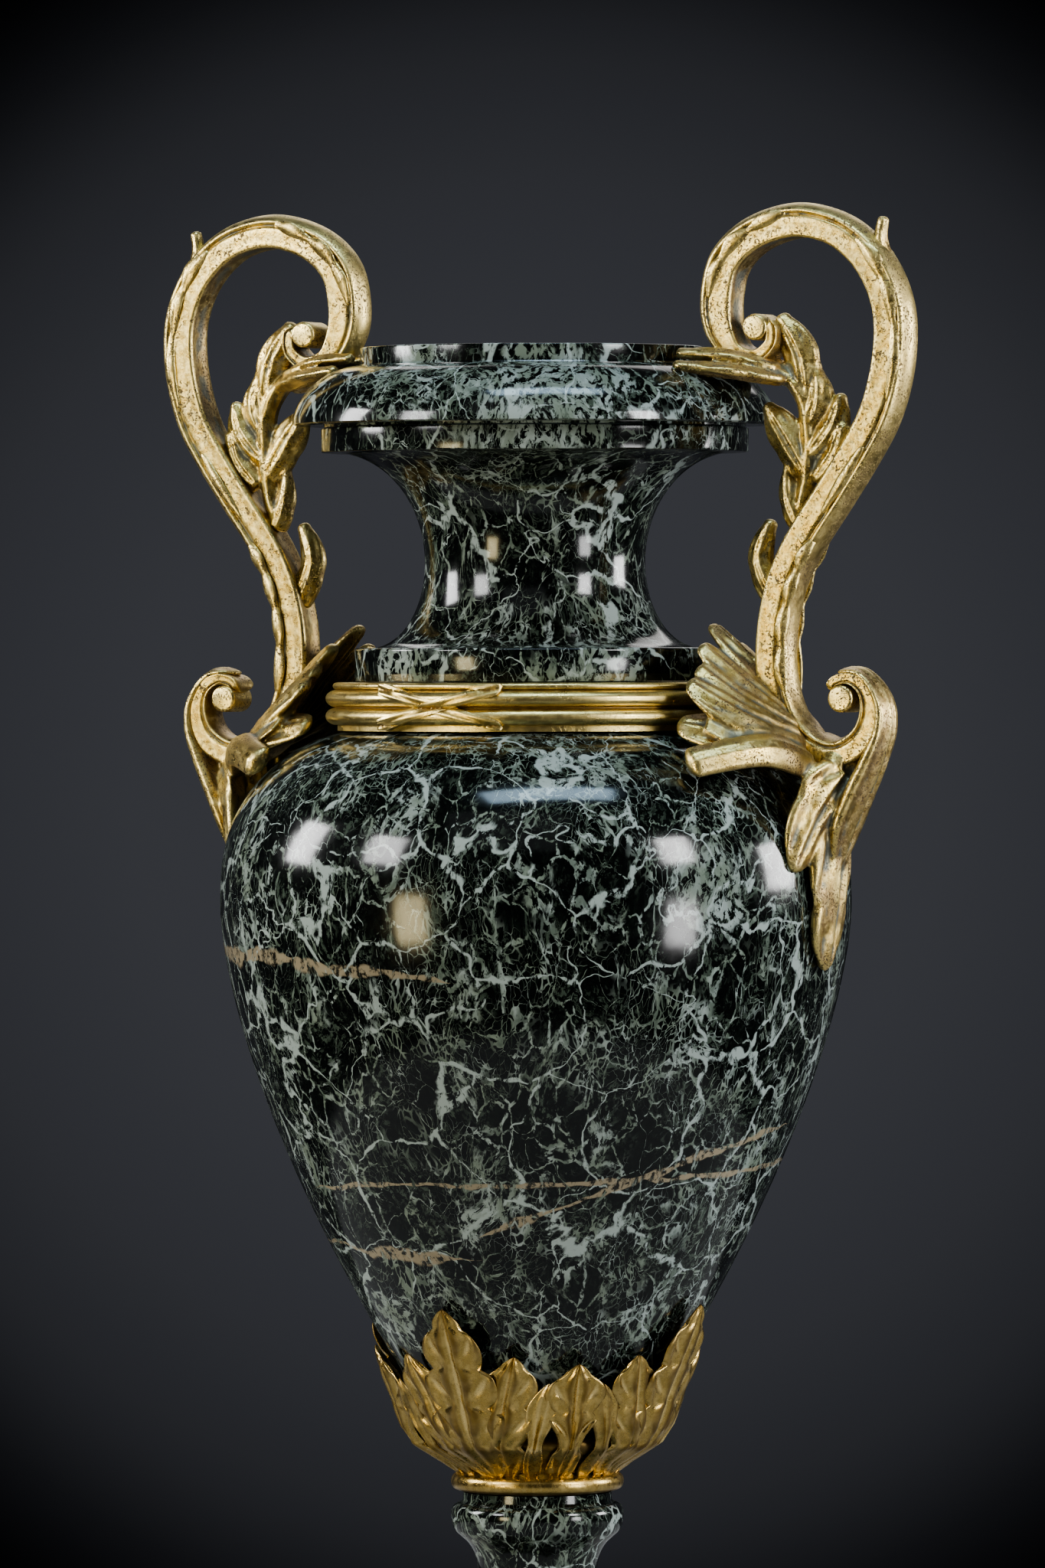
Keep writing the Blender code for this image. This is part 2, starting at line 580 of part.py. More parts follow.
def sprig_leaves():
    """The sprig that grows from the strap's inner face up to the rim, and the thorn on the loop's back."""
    stem = [(79, 0, 358), (82, 0, 370), (83, 0, 381), (82, 0, 391)]
    stem += [(77, 0, 398.5), (66, 0, 402.6), (50, 0, 405)]
    blades = [
        ([(82.6, 0, 391), (80.6, 0, 404), (74, 0, 415.5)], (2.5, 4.2, 1.6), (6, 7, 5)),
        ([(82.5, 0, 384), (85.6, 0, 392), (85.2, 0, 400.5)], (2.5, 3.6, 1.2), (6, 7, 4)),
        ([(83, 0, 377), (89.8, 0, 385), (92.6, 0, 394)], (2.5, 3.6, 1), (6, 7, 4)),
        ([(84.5, 0, 370), (90.5, 0, 377), (93.5, 0, 386)], (2.5, 3.4, 2), (6, 7, 6)),
        ([(82.5, 0, 372), (76, 0, 382.5), (69.8, 0, 391.5)], (2.5, 4.2, 1.2), (6, 7, 4)),
        ([(80, 0, 358), (76.8, 0, 366), (76.2, 0, 375)], (2.5, 2.4, 0.8), (6, 6, 3)),
        ([(73.5, 0, 337), (68.2, 0, 349), (71.8, 0, 360)], (3, 3, 1.4), (6, 7, 4)),
    ]
    on_rim = [
        Leaf([(75, 1.5, 400.5), (62, 8, 404), (49, 13.5, 405)], (3.5, 5, 1.6), (4, 4.4, 2.6), (0.1, 0, 1)),
        Leaf([(77, 2.5, 397.5), (64, 12, 400), (51, 20, 401.6)], (3, 5, 1.6), (4, 4.4, 2.6), (0.1, 0, 1)),
    ]
    return [
        Leaf(stem, (2.6, 3, 3.4, 3.8, 4.4, 5.5, 2), (5, 5, 5.5, 5.5, 5, 4, 2), (0.8, 0, 0.6), False),
        *(Leaf(*blade, (0, 1, 0), False) for blade in blades),
        *both_sides(on_rim),
        Leaf([(106, 0, 428), (104, 0, 435), (105, 0, 441.5)], (2.4, 2.2, 1.4), (5, 4, 3), (1, 0, 0), False),
    ]


def eye_mesh(eye):
    """The round end of a scroll, across the handle."""
    out, up, radius = eye
    bm = bmesh.new()
    turn = Matrix.Rotation(math.pi / 2, 4, "X")
    bmesh.ops.create_cone(
        bm,
        cap_ends=True,
        segments=12,
        radius1=radius * MM,
        radius2=radius * MM,
        depth=EYE_WIDTH,
        matrix=Matrix.Translation(placed(out, up)) @ turn,
    )
    return to_mesh(bm, "eye")


def helper(mesh, collection):
    """A shape that only cuts or joins: wire in the viewport, and not rendered."""
    made = bpy.data.objects.new(mesh.name, mesh)
    made.hide_render = True
    made.display_type = "WIRE"
    collection.objects.link(made)
    return made


def joined(base, additions, trim=None):
    """One body of the base mesh and its additions, cut back by the trim mesh if there is one."""
    shapes = bpy.data.collections.new("additions")
    bpy.context.scene.collection.children.link(shapes)
    helpers = [helper(mesh, shapes) for mesh in additions]
    blank = helper(base, bpy.context.scene.collection)
    join = blank.modifiers.new("join", "BOOLEAN")
    join.operation = "UNION"
    join.solver = "EXACT"
    join.operand_type = "COLLECTION"
    join.collection = shapes
    helpers.append(blank)
    if trim:
        cutter = helper(trim, bpy.context.scene.collection)
        cut = blank.modifiers.new("trim", "BOOLEAN")
        cut.operation = "DIFFERENCE"
        cut.solver = "EXACT"
        cut.object = cutter
        helpers.append(cutter)
    mesh = bpy.data.meshes.new_from_object(blank.evaluated_get(bpy.context.evaluated_depsgraph_get()))
    for done in helpers:
        bpy.data.objects.remove(done)
    bpy.data.collections.remove(shapes)
    bm = bmesh.new()
    bm.from_mesh(mesh)
    bmesh.ops.remove_doubles(bm, verts=bm.verts, dist=2e-6)
    bmesh.ops.dissolve_degenerate(bm, edges=bm.edges, dist=2e-6)
    bmesh.ops.dissolve_limit(bm, angle_limit=FLAT_ANGLE, verts=bm.verts, edges=bm.edges)
    bmesh.ops.triangulate(bm, faces=bm.faces)
    bm.to_mesh(mesh)
    bm.free()
    return mesh


def handle_mesh():
    """One cast handle: the strap with its eyes and leaves, trimmed back from the marble."""
    leaves = shoulder_leaves() + pendant_leaves() + sprig_leaves()
    additions = [eye_mesh(eye) for eye in (UPPER_EYE, LOWER_EYE)] + [leaf_mesh(leaf) for leaf in leaves]
    return joined(strap_mesh(), additions, to_mesh(turned(envelope_outline(), False), "marble_envelope"))


def ribbon_mesh(angle, lean):
    """One ribbon wound slantwise over the belt. lean is 1 or -1."""
    steps = 4
    middle = BELT_Z + BELT_HEIGHT / 2
    reach = BELT_HEIGHT / 2 - RIBBON_WIDTH / 2
    sections = []
    for i in range(steps + 1):
        share = 2 * i / steps - 1
        turn = Matrix.Rotation(angle + RIBBON_HALF_TURN * share, 3, "Z")
        z = middle + reach * share * lean
        inner = BELT_FILLET_RADIUS - RIBBON_RISE
        outer = BELT_RADIUS + RIBBON_RISE
        half = RIBBON_WIDTH / 2
        corners = ((inner, z - half), (outer, z - half), (outer, z + half), (inner, z + half))
        sections.append([turn @ Vector((r, 0, height)) for r, height in corners])
    return swept(sections, "ribbon")


def belt_mesh():
    """The reeded belt with a pair of crossed ribbons at the front and the back."""
    sides = (BELT_TURN - math.pi / 2, BELT_TURN + math.pi / 2)
    ribbons = [ribbon_mesh(angle, lean) for angle in sides for lean in (1, -1)]
    return joined(to_mesh(turned(belt_outline(), True), "belt"), ribbons)


def plinth_mesh():
    """The square plinth, its edges a little eased."""
    bm = bmesh.new()
    size = Matrix.Diagonal((PLINTH_SIDE, PLINTH_SIDE, PLINTH_HEIGHT, 1))
    bmesh.ops.create_cube(bm, size=1, matrix=Matrix.Translation((0, 0, PLINTH_HEIGHT / 2)) @ size)
    upper = [edge for edge in bm.edges if max(vert.co.z for vert in edge.verts) > PLINTH_HEIGHT / 2]
    bmesh.ops.bevel(
        bm, geom=upper, offset=PLINTH_BEVEL, segments=2, profile=0.5, affect="EDGES", material=-1
    )
    return to_mesh(bm, "plinth")


def main():
    for old in list(bpy.data.objects):
        bpy.data.objects.remove(old)
    marble = material("green_marble", (0.030, 0.048, 0.042), 0.12, 0.0)
    gilt = material("gilt_bronze", (0.62, 0.44, 0.17), 0.34, 1.0)
    add_object("plinth", plinth_mesh(), marble)
    add_object("foot_ring", to_mesh(turned(foot_ring_outline(), False), "foot_ring"), gilt)
    add_object("stem", to_mesh(turned(stem_outline(), False), "stem"), marble)
    add_object("leaf_cup", cup_mesh(), gilt)
    add_object("body", to_mesh(turned(body_outline(), False), "body"), marble)
    add_object("belt", belt_mesh(), gilt)
    add_object("neck", to_mesh(turned(neck_outline(), True), "neck"), marble)
    rim = rim_outer() + [(MOUTH_RADIUS, TOP_Z), (MOUTH_RADIUS, RIM_Z)]
    add_object("rim", to_mesh(turned(rim, True), "rim"), marble)
    handle = handle_mesh()
    add_object("handle_right", handle, gilt)
    left = add_object("handle_left", handle, gilt)
    left.rotation_euler.z = math.pi


main()
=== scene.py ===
"""The looks of a two-handled mantel urn of dark green veined marble with gilt bronze mounts.

Lengths are in metres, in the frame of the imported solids: the axis is Z and the front is -Y. The
handle's pattern is drawn in its own plane in millimetres, as (out, side, up).
"""

import logging
import math
from dataclasses import dataclass, replace
from enum import Enum
from functools import lru_cache, reduce
from typing import Callable, Optional, Sequence

import bmesh
import bpy
import numpy as np
from mathutils import Matrix, Vector


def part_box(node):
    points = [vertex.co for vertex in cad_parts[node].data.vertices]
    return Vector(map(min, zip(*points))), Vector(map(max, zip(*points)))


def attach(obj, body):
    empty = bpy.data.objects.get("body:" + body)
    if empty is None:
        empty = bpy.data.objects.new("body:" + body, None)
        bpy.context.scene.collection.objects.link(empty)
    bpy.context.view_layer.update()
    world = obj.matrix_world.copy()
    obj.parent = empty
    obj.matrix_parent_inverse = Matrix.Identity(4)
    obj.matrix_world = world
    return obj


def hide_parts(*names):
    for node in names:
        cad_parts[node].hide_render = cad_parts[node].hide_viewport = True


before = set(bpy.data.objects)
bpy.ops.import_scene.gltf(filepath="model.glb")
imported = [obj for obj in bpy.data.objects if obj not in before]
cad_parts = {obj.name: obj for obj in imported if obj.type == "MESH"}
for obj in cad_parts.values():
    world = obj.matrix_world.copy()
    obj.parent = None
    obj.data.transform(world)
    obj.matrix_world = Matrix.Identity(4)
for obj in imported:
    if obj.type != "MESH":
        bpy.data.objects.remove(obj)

LOG = logging.getLogger("urn")
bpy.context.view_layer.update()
MM = 0.001
ROUND = 192  # facets round a turned piece
CLOSE = 1e-6  # points nearer than this are one

Outline = list[tuple[float, float]]
Colour = tuple[float, float, float]
Point3 = tuple[float, float, float]
Socket = bpy.types.NodeSocket
Shape = bmesh.types.BMesh


class Slot(Enum):
    """Material slot names of the finishes."""

    MARBLE = "marble"
    GILT = "gilt_bronze"


class Nodes:
    """A node tree, filled one node after another."""

    def __init__(self, tree: bpy.types.NodeTree) -> None:
        """Keeps the tree."""
        self.tree = tree

    def node(self, kind: str, inputs: Optional[dict] = None, **settings: object) -> bpy.types.Node:
        """Adds a node.

        Args:
            kind: the node's type.
            inputs: a value or another node's output for each named or numbered input.
            settings: the node's own properties.

        Returns:
            The new node.
        """
        made = self.tree.nodes.new(kind)
        for key, value in settings.items():
            setattr(made, key, value)
        for key, value in (inputs or {}).items():
            self.feed(made.inputs[key], value)
        return made

    def feed(self, socket: Socket, value: object) -> None:
        """Links an output to a socket, or sets the socket.

        Args:
            socket: the socket.
            value: an output, or a value.
        """
        if isinstance(value, Socket):
            self.tree.links.new(value, socket)
        else:
            socket.default_value = value

    def vectors(self, operation: str, first: Socket, second: object) -> Socket:
        """The vector that one Vector Math node gives, or the number for a distance or a dot product."""
        made = self.node("ShaderNodeVectorMath", {0: first, 1: second}, operation=operation)
        return made.outputs["Value" if operation in ("DISTANCE", "DOT_PRODUCT") else "Vector"]


class Graph(Nodes):
    """A material's nodes."""

    def __init__(self, name: str) -> None:
        """Starts a Principled material.

        Args:
            name: the material's name.
        """
        self.material = bpy.data.materials.new(name)
        self.material.use_nodes = True
        super().__init__(self.material.node_tree)
        self.shader = self.tree.nodes["Principled BSDF"]

    def maths(self, operation: str, *values: object) -> Socket:
        """The result of one Math node on these values."""
        return self.node("ShaderNodeMath", dict(enumerate(values)), operation=operation).outputs[0]

    def times(self, first: object, second: object) -> Socket:
        """The product of two values."""
        return self.maths("MULTIPLY", first, second)

    def most(self, values: Sequence[Socket]) -> Socket:
        """The largest of several values."""
        return reduce(lambda first, second: self.maths("MAXIMUM", first, second), values)

    def where(self) -> Socket:
        """The place on the piece, in the row's frame."""
        return self.node("ShaderNodeTexCoord").outputs["Object"]

    def noise(self, place: Socket, size_mm: float, detail: float = 3.0, rough: float = 0.5) -> bpy.types.Node:
        """A noise texture.

        Args:
            place: its coordinates.
            size_mm: the size of its largest blobs.
            detail: how many finer layers it has.
            rough: how strong those are.

        Returns:
            The node.
        """
        inputs = {"Vector": place, "Scale": 1 / (size_mm * MM), "Detail": detail, "Roughness": rough}
        return self.node("ShaderNodeTexNoise", inputs)

    def cloud(self, place: Socket, size_mm: float, detail: float = 3.0, rough: float = 0.5) -> Socket:
        """The grey value of such a noise."""
        return self.noise(place, size_mm, detail, rough).outputs[0]

    def cracks(self, place: Socket, size_mm: float) -> Socket:
        """Distance to the nearest border of cells of this size, as a share of the size."""
        inputs = {"Vector": place, "Scale": 1 / (size_mm * MM)}
        return self.node("ShaderNodeTexVoronoi", inputs, feature="DISTANCE_TO_EDGE").outputs["Distance"]

    def shifted(self, place: Socket, size_mm: float, reach_mm: float, detail: float = 3.0) -> Socket:
        """The coordinates, pushed about by a noise.

        Args:
            place: the coordinates.
            size_mm: the size of the noise.
            reach_mm: how far a point is pushed at most.
            detail: the noise's detail.

        Returns:
            The pushed coordinates.
        """
        push = self.noise(place, size_mm, detail).outputs["Color"]
        centred = self.vectors("SUBTRACT", push, (0.5, 0.5, 0.5))
        reach = {0: centred, "Scale": 2 * reach_mm * MM}
        scaled = self.node("ShaderNodeVectorMath", reach, operation="SCALE").outputs["Vector"]
        return self.vectors("ADD", place, scaled)

    def fade(self, value: Socket, start: float, end: float, low: float = 0.0, high: float = 1.0) -> Socket:
        """A smooth step.

        Args:
            value: what it reads.
            start: the value that gives low.
            end: the value that gives high.
            low: its result at start and before.
            high: its result at end and past it.

        Returns:
            The result.
        """
        inputs = {"Value": value, "From Min": start, "From Max": end, "To Min": low, "To Max": high}
        return self.node("ShaderNodeMapRange", inputs, interpolation_type="SMOOTHSTEP").outputs[0]

    def mix(self, share: object, first: object, second: object) -> Socket:
        """A colour between two.

        Args:
            share: 0 for the first, 1 for the second.
            first: a colour or an output.
            second: a colour or an output.

        Returns:
            The mixed colour.
        """
        made = self.node("ShaderNodeMix", {0: share}, data_type="RGBA")
        for slot, value in ((6, first), (7, second)):  # the node's two colour inputs
            self.feed(made.inputs[slot], value if isinstance(value, Socket) else (*value, 1.0))
        return made.outputs[2]

    def give(self, socket: str, value: object) -> None:
        """Sets or links one of the shader's sockets."""
        self.feed(self.shader.inputs[socket], value)

    def bump(self, height: Socket, depth_mm: float) -> None:
        """Gives the shader a bump of this depth."""
        made = self.node("ShaderNodeBump", {"Height": height, "Strength": 1.0, "Distance": depth_mm * MM})
        self.give("Normal", made.outputs[0])


@dataclass(frozen=True)
class MarbleFinish:
    """Polished near-black green marble: a pale filigree, fracture veins, cloudy patches, tan bands."""

    black: Colour = (0.0012, 0.0018, 0.0015)
    green: Colour = (0.006, 0.010, 0.007)
    crumbs: Colour = (0.058, 0.078, 0.060)
    pale: Colour = (0.165, 0.200, 0.162)
    bluish: Colour = (0.290, 0.340, 0.322)
    tan: Colour = (0.255, 0.216, 0.146)
    gloss: float = 0.11
    index: float = 1.43
    grain_turn: Point3 = (0.45, 0.55, 0.0)  # radians; how the stone's grain lies
    grain_stretch: Point3 = (1.0, 1.0, 0.60)
    fragment_mm: float = 6.4
    splinter_mm: float = 1.9
    block_mm: float = 27.0  # between the fracture veins
    view_turn: float = 26.0  # degrees; the bands and patches are placed as seen from here
    # Pale patches: millimetres to the right, to the front and up, and how far each reaches
    spots: tuple = ((4, 62, 394, 30), (-37, 32, 320, 13), (20, 45, 320, 16), (-44, 30, 142, 15), (40, 60, 262, 24))
    # Tan bands: height on the axis, slope to the right, half width, and where across each starts and ends, in mm
    strata: tuple = (
        (234.5, -0.10, 2.4, -95, -22), (181, 0.04, 0.9, -62, 95), (172, 0.36, 1.4, -18, 70),
        (160, -0.05, 1.6, -60, -14),
    )

    def sideways(self) -> Vector:
        """The way across the urn, as seen from the front of the patches."""
        a = math.radians(self.view_turn)
        return Vector((math.cos(a), math.sin(a), 0.0))

    def frontwards(self) -> Vector:
        """The way out of the urn's patched side."""
        across = self.sideways()
        return Vector((across.y, -across.x, 0.0))

    def material(self) -> bpy.types.Material:
        """The marble's material."""
        g = Graph("veined_green_marble")
        place = g.where()
        inputs = {"Vector": place, "Rotation": self.grain_turn, "Scale": self.grain_stretch}
        folded = g.shifted(g.node("ShaderNodeMapping", inputs).outputs[0], 24, 8, 4)
        wavy = g.shifted(folded, 6, 1.1)
        crisp = g.shifted(wavy, 1.3, 0.30)
        grain = g.cloud(crisp, 1.3, 4, 0.65)

        # Filigree: borders of small and smaller fragments, thicker in some zones than in others
        thick = g.fade(g.cloud(folded, 10, 5, 0.6), 0.38, 0.70, 0.006, 0.100)
        net = g.maths("SUBTRACT", 1.0, g.maths("DIVIDE", g.cracks(crisp, self.fragment_mm), thick))
        fine_thick = g.maths("ADD", g.fade(g.cloud(wavy, 5), 0.46, 0.68, 0.0, 0.17), 0.012)
        fine = g.maths("SUBTRACT", 1.0, g.maths("DIVIDE", g.cracks(crisp, self.splinter_mm), fine_thick))
        net_share = g.times(g.fade(net, 0.0, 0.45), g.fade(grain, 0.43, 0.51))
        zones = g.fade(g.cloud(place, 26, 3, 0.55), 0.44, 0.58, 0.0, 0.9)
        filigree = g.most((net_share, g.times(g.fade(fine, 0.0, 0.5), zones)))

        # Cloudy patches, where the pale stone holds dark islands
        field = g.maths("ADD", g.cloud(folded, 15, 6, 0.62), g.times(self.patches(g, place), 0.26))
        cloudy = g.times(g.fade(field, 0.575, 0.64), g.fade(g.cloud(crisp, 1.9, 4, 0.62), 0.47, 0.53))

        # Fracture veins: long and bright, running through everything
        split = g.shifted(g.shifted(place, 30, 16), 5, 2.0, 4)
        wide = g.fade(g.cloud(place, 20), 0.40, 0.64, 0.008, 0.040)
        vein = g.fade(g.maths("DIVIDE", g.cracks(split, self.block_mm), wide), 1.0, 0.4)
        vein = g.times(vein, g.fade(g.cloud(crisp, 3, 4, 0.7), 0.40, 0.50))

        # Crumbs: a mid green grain in some zones, and darker holes through all pale stone
        crumb = g.fade(g.cloud(crisp, 1.6, 5, 0.75), 0.525, 0.57)
        crumb = g.times(crumb, g.fade(g.cloud(folded, 12, 4, 0.6), 0.44, 0.62, 0.04, 0.8))

        shade = g.mix(crumb, g.mix(g.fade(grain, 0.5, 0.75), self.black, self.green), self.crumbs)
        tone = g.mix(g.fade(g.cloud(wavy, 7, 4), 0.38, 0.66), self.pale, self.bluish)
        dull = g.mix(g.fade(g.cloud(crisp, 2.4), 0.35, 0.65, 0.75, 0.0), tone, self.crumbs)
        colour = g.mix(filigree, shade, dull)
        colour = g.mix(g.times(cloudy, 0.85), colour, tone)
        colour = g.mix(vein, colour, self.bluish)
        g.give("Base Color", g.mix(self.bands(g, place, crisp), colour, self.tan))
        g.give("Roughness", g.fade(g.cloud(place, 3), 0.3, 0.8, self.gloss, self.gloss + 0.04))
        g.give("IOR", self.index)
        g.bump(g.maths("ADD", g.cloud(place, 9, 2), g.times(filigree, 0.05)), 0.03)
        return g.material

    def patches(self, g: Graph, place: Socket) -> Socket:
        """Where the stone is mostly pale: on the rim's front, the neck's disc and the belly.

        Args:
            g: the material's graph.
            place: coordinates on the piece.

        Returns:
            1 in the middle of each patch, 0 outside them.
        """
        balls = []
        for across, front, up, reach in self.spots:
            centre = self.sideways() * across + self.frontwards() * front + Vector((0, 0, up))
            gap = g.vectors("DISTANCE", place, centre * MM)
            balls.append(g.fade(gap, reach * MM, reach * 0.35 * MM))
        return g.most(balls)

    def bands(self, g: Graph, place: Socket, crisp: Socket) -> Socket:
        """Where the tan bands run: bent sheets through the stone, broken in places.

        Args:
            g: the material's graph.
            place: coordinates on the piece.
            crisp: the same, finely pushed about.

        Returns:
            The bands' share.
        """
        bent = g.shifted(place, 34, 5.5, 4)
        side = self.sideways()
        across = g.vectors("DOT_PRODUCT", place, side)
        taper_mm = 14
        bands = []
        for height, slope, width, first, last in self.strata:
            along = g.vectors("DOT_PRODUCT", bent, Vector((0, 0, 1)) - side * slope)
            off = g.maths("ABSOLUTE", g.maths("SUBTRACT", along, height * MM))
            swell = g.fade(g.cloud(place, 13), 0.35, 0.65, 0.35 * width * MM, 1.4 * width * MM)
            for end, way in ((first, 1), (last, -1)):
                swell = g.times(swell, g.fade(across, end * MM, (end + way * taper_mm) * MM, 0.001, 1.0))
            bands.append(g.fade(g.maths("DIVIDE", off, swell), 1.0, 0.6))
        return g.times(g.most(bands), g.fade(g.cloud(crisp, 2.0, 4, 0.7), 0.41, 0.53, 0.05, 0.95))


@dataclass(frozen=True)
class GiltFinish:
    """Old fire gilding: a painted highlight on raised edges, painted shade in the recesses, brown in pits, blue-grey
    patina in the recesses.
    """

    name: str = "old_gilding"
    gold: Colour = (0.480, 0.345, 0.105)
    # Pale gold: the light patches of the mottle, and the painted highlight on raised edges
    light: Colour = (0.740, 0.600, 0.260)
    brown: Colour = (0.075, 0.046, 0.018)
    # Dark brown of the painted shade in recesses
    shade_brown: Colour = (0.190, 0.130, 0.052)
    worn: Colour = (0.350, 0.245, 0.155)
    film: Colour = (0.085, 0.120, 0.125)
    wear: float = 0.65  # how much of the brown wear shows on faces that look along the urn
    patina: float = 0.7  # how much of the blue-grey film shows
    gloss: float = 0.25
    mottle: float = 1.0  # how strongly small blotches show, in colour and in relief
    speck_mm: float = 0.6
    pore_mm: float = 0.38

    def material(self) -> bpy.types.Material:
        """The gilding's material. It reads the piece's own attribute "relief": 0 in recesses, 1 on edges."""
        g = Graph(self.name)
        place = g.where()
        relief = g.node("ShaderNodeAttribute", attribute_name="relief").outputs["Fac"]
        cloud = g.cloud(place, 9, 4, 0.6)
        patch = g.cloud(place, 2.6, 4, 0.65)
        facing = g.node("ShaderNodeTexCoord").outputs["Normal"]
        broad = g.maths("ABSOLUTE", g.node("ShaderNodeSeparateXYZ", {0: facing}).outputs["Y"])

        colour = g.mix(g.times(g.fade(patch, 0.40, 0.66), self.mottle), self.gold, self.light)
        rubbed = g.times(g.fade(broad, 0.72, 0.40), g.fade(cloud, 0.34, 0.60, 0.35, 1.0))
        colour = g.mix(g.times(rubbed, self.wear), colour, self.worn)
        # Painted highlight: raised edges are lightened towards the pale gold
        colour = g.mix(g.times(g.fade(relief, 0.55, 0.72), 0.8), colour, self.light)
        specks = g.fade(g.cloud(place, self.speck_mm, 3, 0.6), 0.54, 0.60)
        pits = g.times(g.times(specks, g.fade(cloud, 0.42, 0.58, 0.25, 0.95)), self.mottle)
        colour = g.mix(pits, colour, self.brown)
        # Painted shade: recesses are darkened towards a dark brown, more strongly in some cloudy patches
        painted_recess_shade = g.times(g.fade(relief, 0.46, 0.26), g.fade(cloud, 0.30, 0.65, 0.5, 0.9))
        colour = g.mix(painted_recess_shade, colour, self.shade_brown)
        bloom = g.times(g.fade(relief, 0.52, 0.42), g.fade(g.cloud(place, 7), 0.44, 0.56))
        bloom = g.times(bloom, self.patina)
        g.give("Base Color", g.mix(bloom, colour, self.film))
        g.give("Metallic", g.maths("SUBTRACT", 1.0, g.times(g.most((bloom, pits)), 0.6)))
        rough = g.fade(patch, 0.3, 0.75, self.gloss, self.gloss + 0.14)
        rough = g.maths("ADD", rough, g.times(rubbed, 0.18 * self.wear))
        g.give("Roughness", g.maths("ADD", rough, g.times(g.most((pits, painted_recess_shade)), 0.2)))
        fine = g.times(g.cloud(place, self.pore_mm, 3, 0.7), 0.6)
        g.bump(g.maths("ADD", fine, g.maths("SUBTRACT", patch, pits)), 0.05 * self.mottle + 0.02)
        return g.material


@dataclass(frozen=True)
class FloorFinish:
    """Plain pale matt floor."""

    colour: Colour = (0.34, 0.335, 0.33)
    roughness: float = 0.9

    def material(self) -> bpy.types.Material:
        """The floor's material."""
        g = Graph("pale_floor")
        g.give("Base Color", (*self.colour, 1.0))
        g.give("Roughness", self.roughness)
        return g.material


class Finishes:
    """Each finish, made once."""

    def __init__(self) -> None:
        """Makes the materials."""
        self.marble = MarbleFinish().material()
        self.handles = GiltFinish().material()
        # The dark recess colours given below are painted shade
        self.cup = GiltFinish(
            "warm_gilding", gold=(0.44, 0.310, 0.100), light=(0.80, 0.62, 0.29), brown=(0.075, 0.040, 0.012),
            shade_brown=(0.13, 0.075, 0.020), wear=0.0, patina=0.08, gloss=0.22, mottle=0.3,
        ).material()
        self.rings = GiltFinish(
            "bright_gilding", shade_brown=(0.30, 0.20, 0.075), wear=0.0, patina=0.15, gloss=0.27, mottle=0.4,
        ).material()


# Shared shaping


@lru_cache(maxsize=None)
def solid_box(node: str) -> tuple[Vector, Vector]:
    """Lowest and highest corner of a solid."""
    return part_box(node)


def arc(centre: tuple, radii: tuple, start: float, end: float, steps: int) -> Outline:
    """Points on an ellipse's arc.

    Args:
        centre: (radius, height) of its centre.
        radii: its two half axes.
        start: first angle in degrees.
        end: last angle.
        steps: how many parts it has.

    Returns:
        The points.
    """
    turns = [math.radians(start + (end - start) * i / steps) for i in range(steps + 1)]
    return [(centre[0] + radii[0] * math.cos(a), centre[1] + radii[1] * math.sin(a)) for a in turns]


def spun(outline: Outline, closed: bool) -> Shape:
    """The outline spun once round Z.

    Args:
        outline: (radius, height) points. An open one starts and ends on the axis.
        closed: whether its ends are joined, for a ring.

    Returns:
        The turned shape.
    """
    bm = bmesh.new()
    points = [bm.verts.new((r, 0.0, z)) for r, z in outline]
    pairs = list(zip(points, points[1:])) + ([(points[-1], points[0])] if closed else [])
    edges = [bm.edges.new(pair) for pair in pairs]
    bmesh.ops.spin(
        bm, geom=points + edges, cent=(0, 0, 0), axis=(0, 0, 1), dvec=(0, 0, 0),
        angle=2 * math.pi, steps=ROUND, use_merge=True,
    )
    return bm


def wrapped(around: int, along: int, place: Callable[[float, float], Vector]) -> Shape:
    """A grid wrapped into a closed tube.

    Args:
        around: parts round the tube.
        along: parts from end to end.
        place: gives the point for (share round, share along). Its ends come to a point.

    Returns:
        The tube.
    """
    bm = bmesh.new()
    bmesh.ops.create_grid(bm, x_segments=around, y_segments=along, size=0.5)
    for vert in bm.verts:
        vert.co = place((vert.co.x + 0.5) % 1.0, min(1.0, max(0.0, vert.co.y + 0.5)))
    bmesh.ops.remove_doubles(bm, verts=bm.verts, dist=2 * CLOSE)
    bmesh.ops.recalc_face_normals(bm, faces=bm.faces)
    return bm


def eased(bm: Shape, edges: Sequence[bmesh.types.BMEdge], width: float, segments: int) -> None:
    """Rounds these edges."""
    bmesh.ops.bevel(bm, geom=edges, offset=width, segments=segments, profile=0.5, affect="EDGES", material=-1)


def to_mesh(bm: Shape, name: str) -> bpy.types.Mesh:
    """Merges doubles, turns faces outwards and stores the shape.

    Args:
        bm: the shape, which is freed.
        name: the mesh's name.

    Returns:
        The mesh.
    """
    bmesh.ops.remove_doubles(bm, verts=bm.verts, dist=CLOSE)
    bmesh.ops.recalc_face_normals(bm, faces=bm.faces)
    mesh = bpy.data.meshes.new(name)
    bm.to_mesh(mesh)
    bm.free()
    return mesh


def gathered(shapes: Sequence[Shape], name: str) -> bpy.types.Mesh:
    """Puts several shapes into one mesh.

    Args:
        shapes: the shapes, which are freed.
        name: the mesh's name.

    Returns:
        The mesh.
    """
    whole = bmesh.new()
    for shape in shapes:
        part = bpy.data.meshes.new("part")
        shape.to_mesh(part)
        shape.free()
        whole.from_mesh(part)
        bpy.data.meshes.remove(part)
    mesh = bpy.data.meshes.new(name)
    whole.to_mesh(mesh)
    whole.free()
    return mesh


